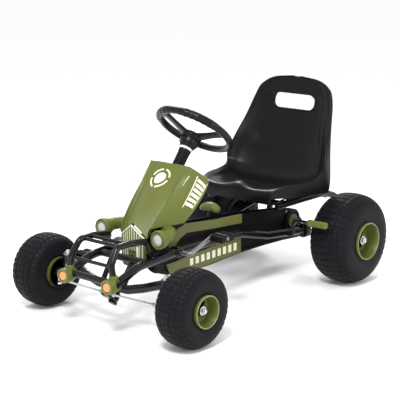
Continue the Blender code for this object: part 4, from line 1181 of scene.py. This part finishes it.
def seat_point(across, along):
    """A point on the seat's upper face and the normal there, both from smooth stations."""
    y, z, half, wing = through(STATIONS, along)
    ahead = through(STATIONS, min(along + 0.01, 1))
    behind = through(STATIONS, max(along - 0.01, 0))
    tangent = Vector((0, ahead[0] - behind[0], ahead[1] - behind[1])).normalized()
    towards = X.cross(tangent).normalized()
    t = abs(across)
    point = Vector((half * across, y, z)) + towards * wing * t ** 3
    hump = math.exp(-(across / 0.22) ** 2) * math.exp(-((along - 0.165) / 0.055) ** 2)
    thighs = math.exp(-((t - 0.5) / 0.24) ** 2) * math.exp(-((along - 0.21) / 0.08) ** 2)
    panel = eased(along, 0.5, 0.56) * (1 - eased(along, 0.69, 0.71)) * (1 - eased(t, 0.66, 0.76))
    border = eased(t, 0.8, 0.92) * eased(along, 0.1, 0.2)
    point += towards * (0.012 * hump - 0.006 * thighs - 0.005 * panel + 0.004 * border)
    return point, towards


SEAT_COLUMNS, SEAT_ROWS = 72, 150


def seat_row(grid, i, start=0):
    """A row of the seat with its rolled edges and side walls.

    start above 0 rolls the whole row over as well, from that step of ROLL.
    """
    drop = Vector((0, *through(SKIRT, i / SEAT_ROWS)))

    def roll(point, towards, outward, k):
        out, sink, share = ROLL[k]
        return point + outward * out - towards * sink + drop * share

    walls = []
    for end, side in ((0, -1), (-1, 1)):
        point, towards = grid[i][end]
        along_edge = grid[min(i + 1, SEAT_ROWS)][end][0] - grid[max(i - 1, 0)][end][0]
        outward = side * along_edge.cross(towards).normalized()
        walls.append([roll(point, towards, outward, max(k, start)) for k in range(len(ROLL))])
    inner = [roll(point, towards, Z, start) if start else point for point, towards in grid[i]]
    return list(reversed(walls[0])) + inner + walls[1]


def make_seat_shell():
    """The moulding: one grid of points, given a wall thickness."""
    grid = [[seat_point(2 * k / SEAT_COLUMNS - 1, i / SEAT_ROWS) for k in range(SEAT_COLUMNS + 1)]
            for i in range(SEAT_ROWS + 1)]
    rows = [seat_row(grid, i) for i in range(SEAT_ROWS + 1)]
    rows += [seat_row(grid, SEAT_ROWS, start) for start in range(1, len(ROLL))]
    shell = piece("seat_moulding", sheet(rows), SATIN, "seat", "seat_shell", sharp=70)
    data = bmesh.new()
    data.from_mesh(shell.data)
    bmesh.ops.remove_doubles(data, verts=data.verts, dist=0.00002)
    data.to_mesh(shell.data)
    data.free()
    middle = (SEAT_COLUMNS + 12) * (SEAT_ROWS // 2) + SEAT_COLUMNS // 2 + 6
    front = grid[SEAT_ROWS // 2][SEAT_COLUMNS // 2][1]
    wall = shell.modifiers.new("wall", "SOLIDIFY")
    wall.thickness = 0.0026
    wall.offset = 1 if shell.data.polygons[middle].normal.dot(front) < 0 else -1
    applied(shell, wall)
    return shell


def slot_outline():
    """The handle slot's rounded outline as x, z."""
    low, high, reach, corner = 0.495, 0.549, 0.056, 0.024
    outline = []
    for x, z, start in ((reach, high - corner, 0), (-reach, high - corner, 90),
                        (-reach, low + corner, 180), (reach, low + corner, 270)):
        for step in range(9):
            angle = math.radians(start + 90 * step / 8)
            outline.append((x + corner * math.cos(angle), z + corner * math.sin(angle)))
    return outline


def back_at(x, z):
    """The point of the seat's back at x and z, and the normal there."""
    low, high = 0.58, 0.8
    for _ in range(24):
        middle = (low + high) / 2
        half = through(STATIONS, middle)[2]
        if seat_point(x / half, middle)[0].z < z:
            low = middle
        else:
            high = middle
    return seat_point(x / half, low)


def make_slot(shell):
    """Cuts the handle slot and gives it a rolled lip."""
    outline = slot_outline()
    cut(shell, [loft([[Vector((x, y, z)) for x, z in outline] for y in (0.36, 0.48)])], 50)
    lip = []
    for x, z in outline:
        point, towards = back_at(x, z)
        lip.append(point - towards * 0.0016)
    rings = []
    for i, point in enumerate(lip):
        heading = (lip[(i + 1) % len(lip)] - lip[i - 1]).normalized()
        across = heading.cross(Y).normalized()
        up = across.cross(heading)
        rings.append([point + across * 0.001 + 0.0034 * (math.cos(a) * across + math.sin(a) * up)
                      for a in circle(12)])
    piece("seat_slot_lip", loft(rings, wrap=True), SATIN, "seat", sharp=60)


def make_slider():
    """The plate, shoes and posts that carry the seat on its rails."""
    parts, bolts = [block((-0.139, 0.2625, 0.2606), (0.139, 0.2855, 0.2642), 0.0012, 2)], []
    for _, side in SIDES:
        parts.append(block((side * SEAT_RAIL_X - 0.0098, 0.1905, 0.2605),
                           (side * SEAT_RAIL_X + 0.0098, 0.3395, 0.2652), 0.0016, 2))
        for y, peak in ((0.205, 0.2943), (0.325, 0.3)):
            foot = Vector((side * SEAT_RAIL_X, y, 0.264))
            parts.append(spun([(0, 0.0075), (0.003, 0.0075), (0.004, 0.0058),
                               (peak - 0.264 - 0.002, 0.0058), (peak - 0.264, 0.0052)], foot, Z, 28))
            place = Vector((side * (SEAT_RAIL_X + 0.006), y - 0.0125, 0.265))
            bolts += hex_bolt(place, Z, 0.0032, 0.0028)
    piece("slider_plate", parts, FRAME, "seat", "seat_slider")
    piece("slider_bolts", bolts, ZINC, "seat")


# ---------------------------------------------------------------- stage, light and camera
def area(name, place, target, size, power):
    """A round area light that looks at the target."""
    light = bpy.data.lights.new(name, "AREA")
    light.shape, light.size, light.energy = "DISK", size, power
    made = added(name, light)
    made.location = place
    made.rotation_euler = (Vector(target) - Vector(place)).to_track_quat("-Z", "Y").to_euler()


def make_floor():
    mesh = bpy.data.meshes.new("floor")
    far = 14.0
    mesh.from_pydata([(-far, -far, 0), (far, -far, 0), (far, far, 0), (-far, far, 0)], [],
                     [(0, 1, 2, 3)])
    mesh.materials.append(surface("studio_floor", (0.97, 0.97, 0.97), 0.85, bump=0.02, mottle=0.01,
                                  shine=0.1))
    added("floor", mesh)


def make_lights():
    world = bpy.context.scene.world or bpy.data.worlds.new("World")
    bpy.context.scene.world = world
    world.use_nodes = True
    background = world.node_tree.nodes["Background"]
    background.inputs["Color"].default_value = (1, 1, 1, 1)
    background.inputs["Strength"].default_value = 1.0
    area("key", (0.9, -1.7, 2.4), (0, 0, 0.2), 0.7, 60)
    area("fill", (2.6, 0.4, 1.2), (0, 0, 0.2), 0.6, 14)
    area("back", (-1.6, 1.4, 2.2), (0, 0, 0.3), 0.7, 34)
    bpy.context.scene.view_settings.view_transform = "Standard"


def make_camera():
    """The camera, from its place, where it stands seen from its target, and its tilt."""
    azimuth, elevation, tilt = (math.radians(angle) for angle in (-48.8431, 13.2259, -0.2668))
    back = Vector((math.cos(elevation) * math.cos(azimuth),
                   math.cos(elevation) * math.sin(azimuth), math.sin(elevation)))
    right = Matrix.Rotation(tilt, 3, back) @ Z.cross(back).normalized()
    turn = Matrix((right, back.cross(right), back)).transposed()
    camera = bpy.data.cameras.new("camera")
    camera.lens, camera.sensor_width, camera.clip_end = 110.07, 36.0, 50
    made = added("camera", camera)
    made.matrix_world = Matrix.Translation((2.2638, -2.62265, 1.09437)) @ turn.to_4x4()
    bpy.context.scene.camera = made


make_floor()
make_lights()
make_camera()
for word, side in SIDES:
    make_wheel(f"{word}_front", FRONT, side, FRONT_Y, 36, 0.024, 0.036, f"{word}_front_wheel")
    make_wheel(f"{word}_rear", REAR, side, REAR_Y, 40, 0.03, 0.05, "rear_axle_and_wheels")
make_side_tubes()
make_bearings()
make_middle_tubes()
make_front_beam()
make_lamps()
make_hood()
make_grille()
make_column()
make_shaft()
make_steering_wheel()
make_knuckles()
make_track_rods()
make_rear_axle()
make_chain()
make_guard_case()
make_guard_looks()
make_crank()
make_hand_brake()
make_drive_lever()
make_slot(make_seat_shell())
make_slider()
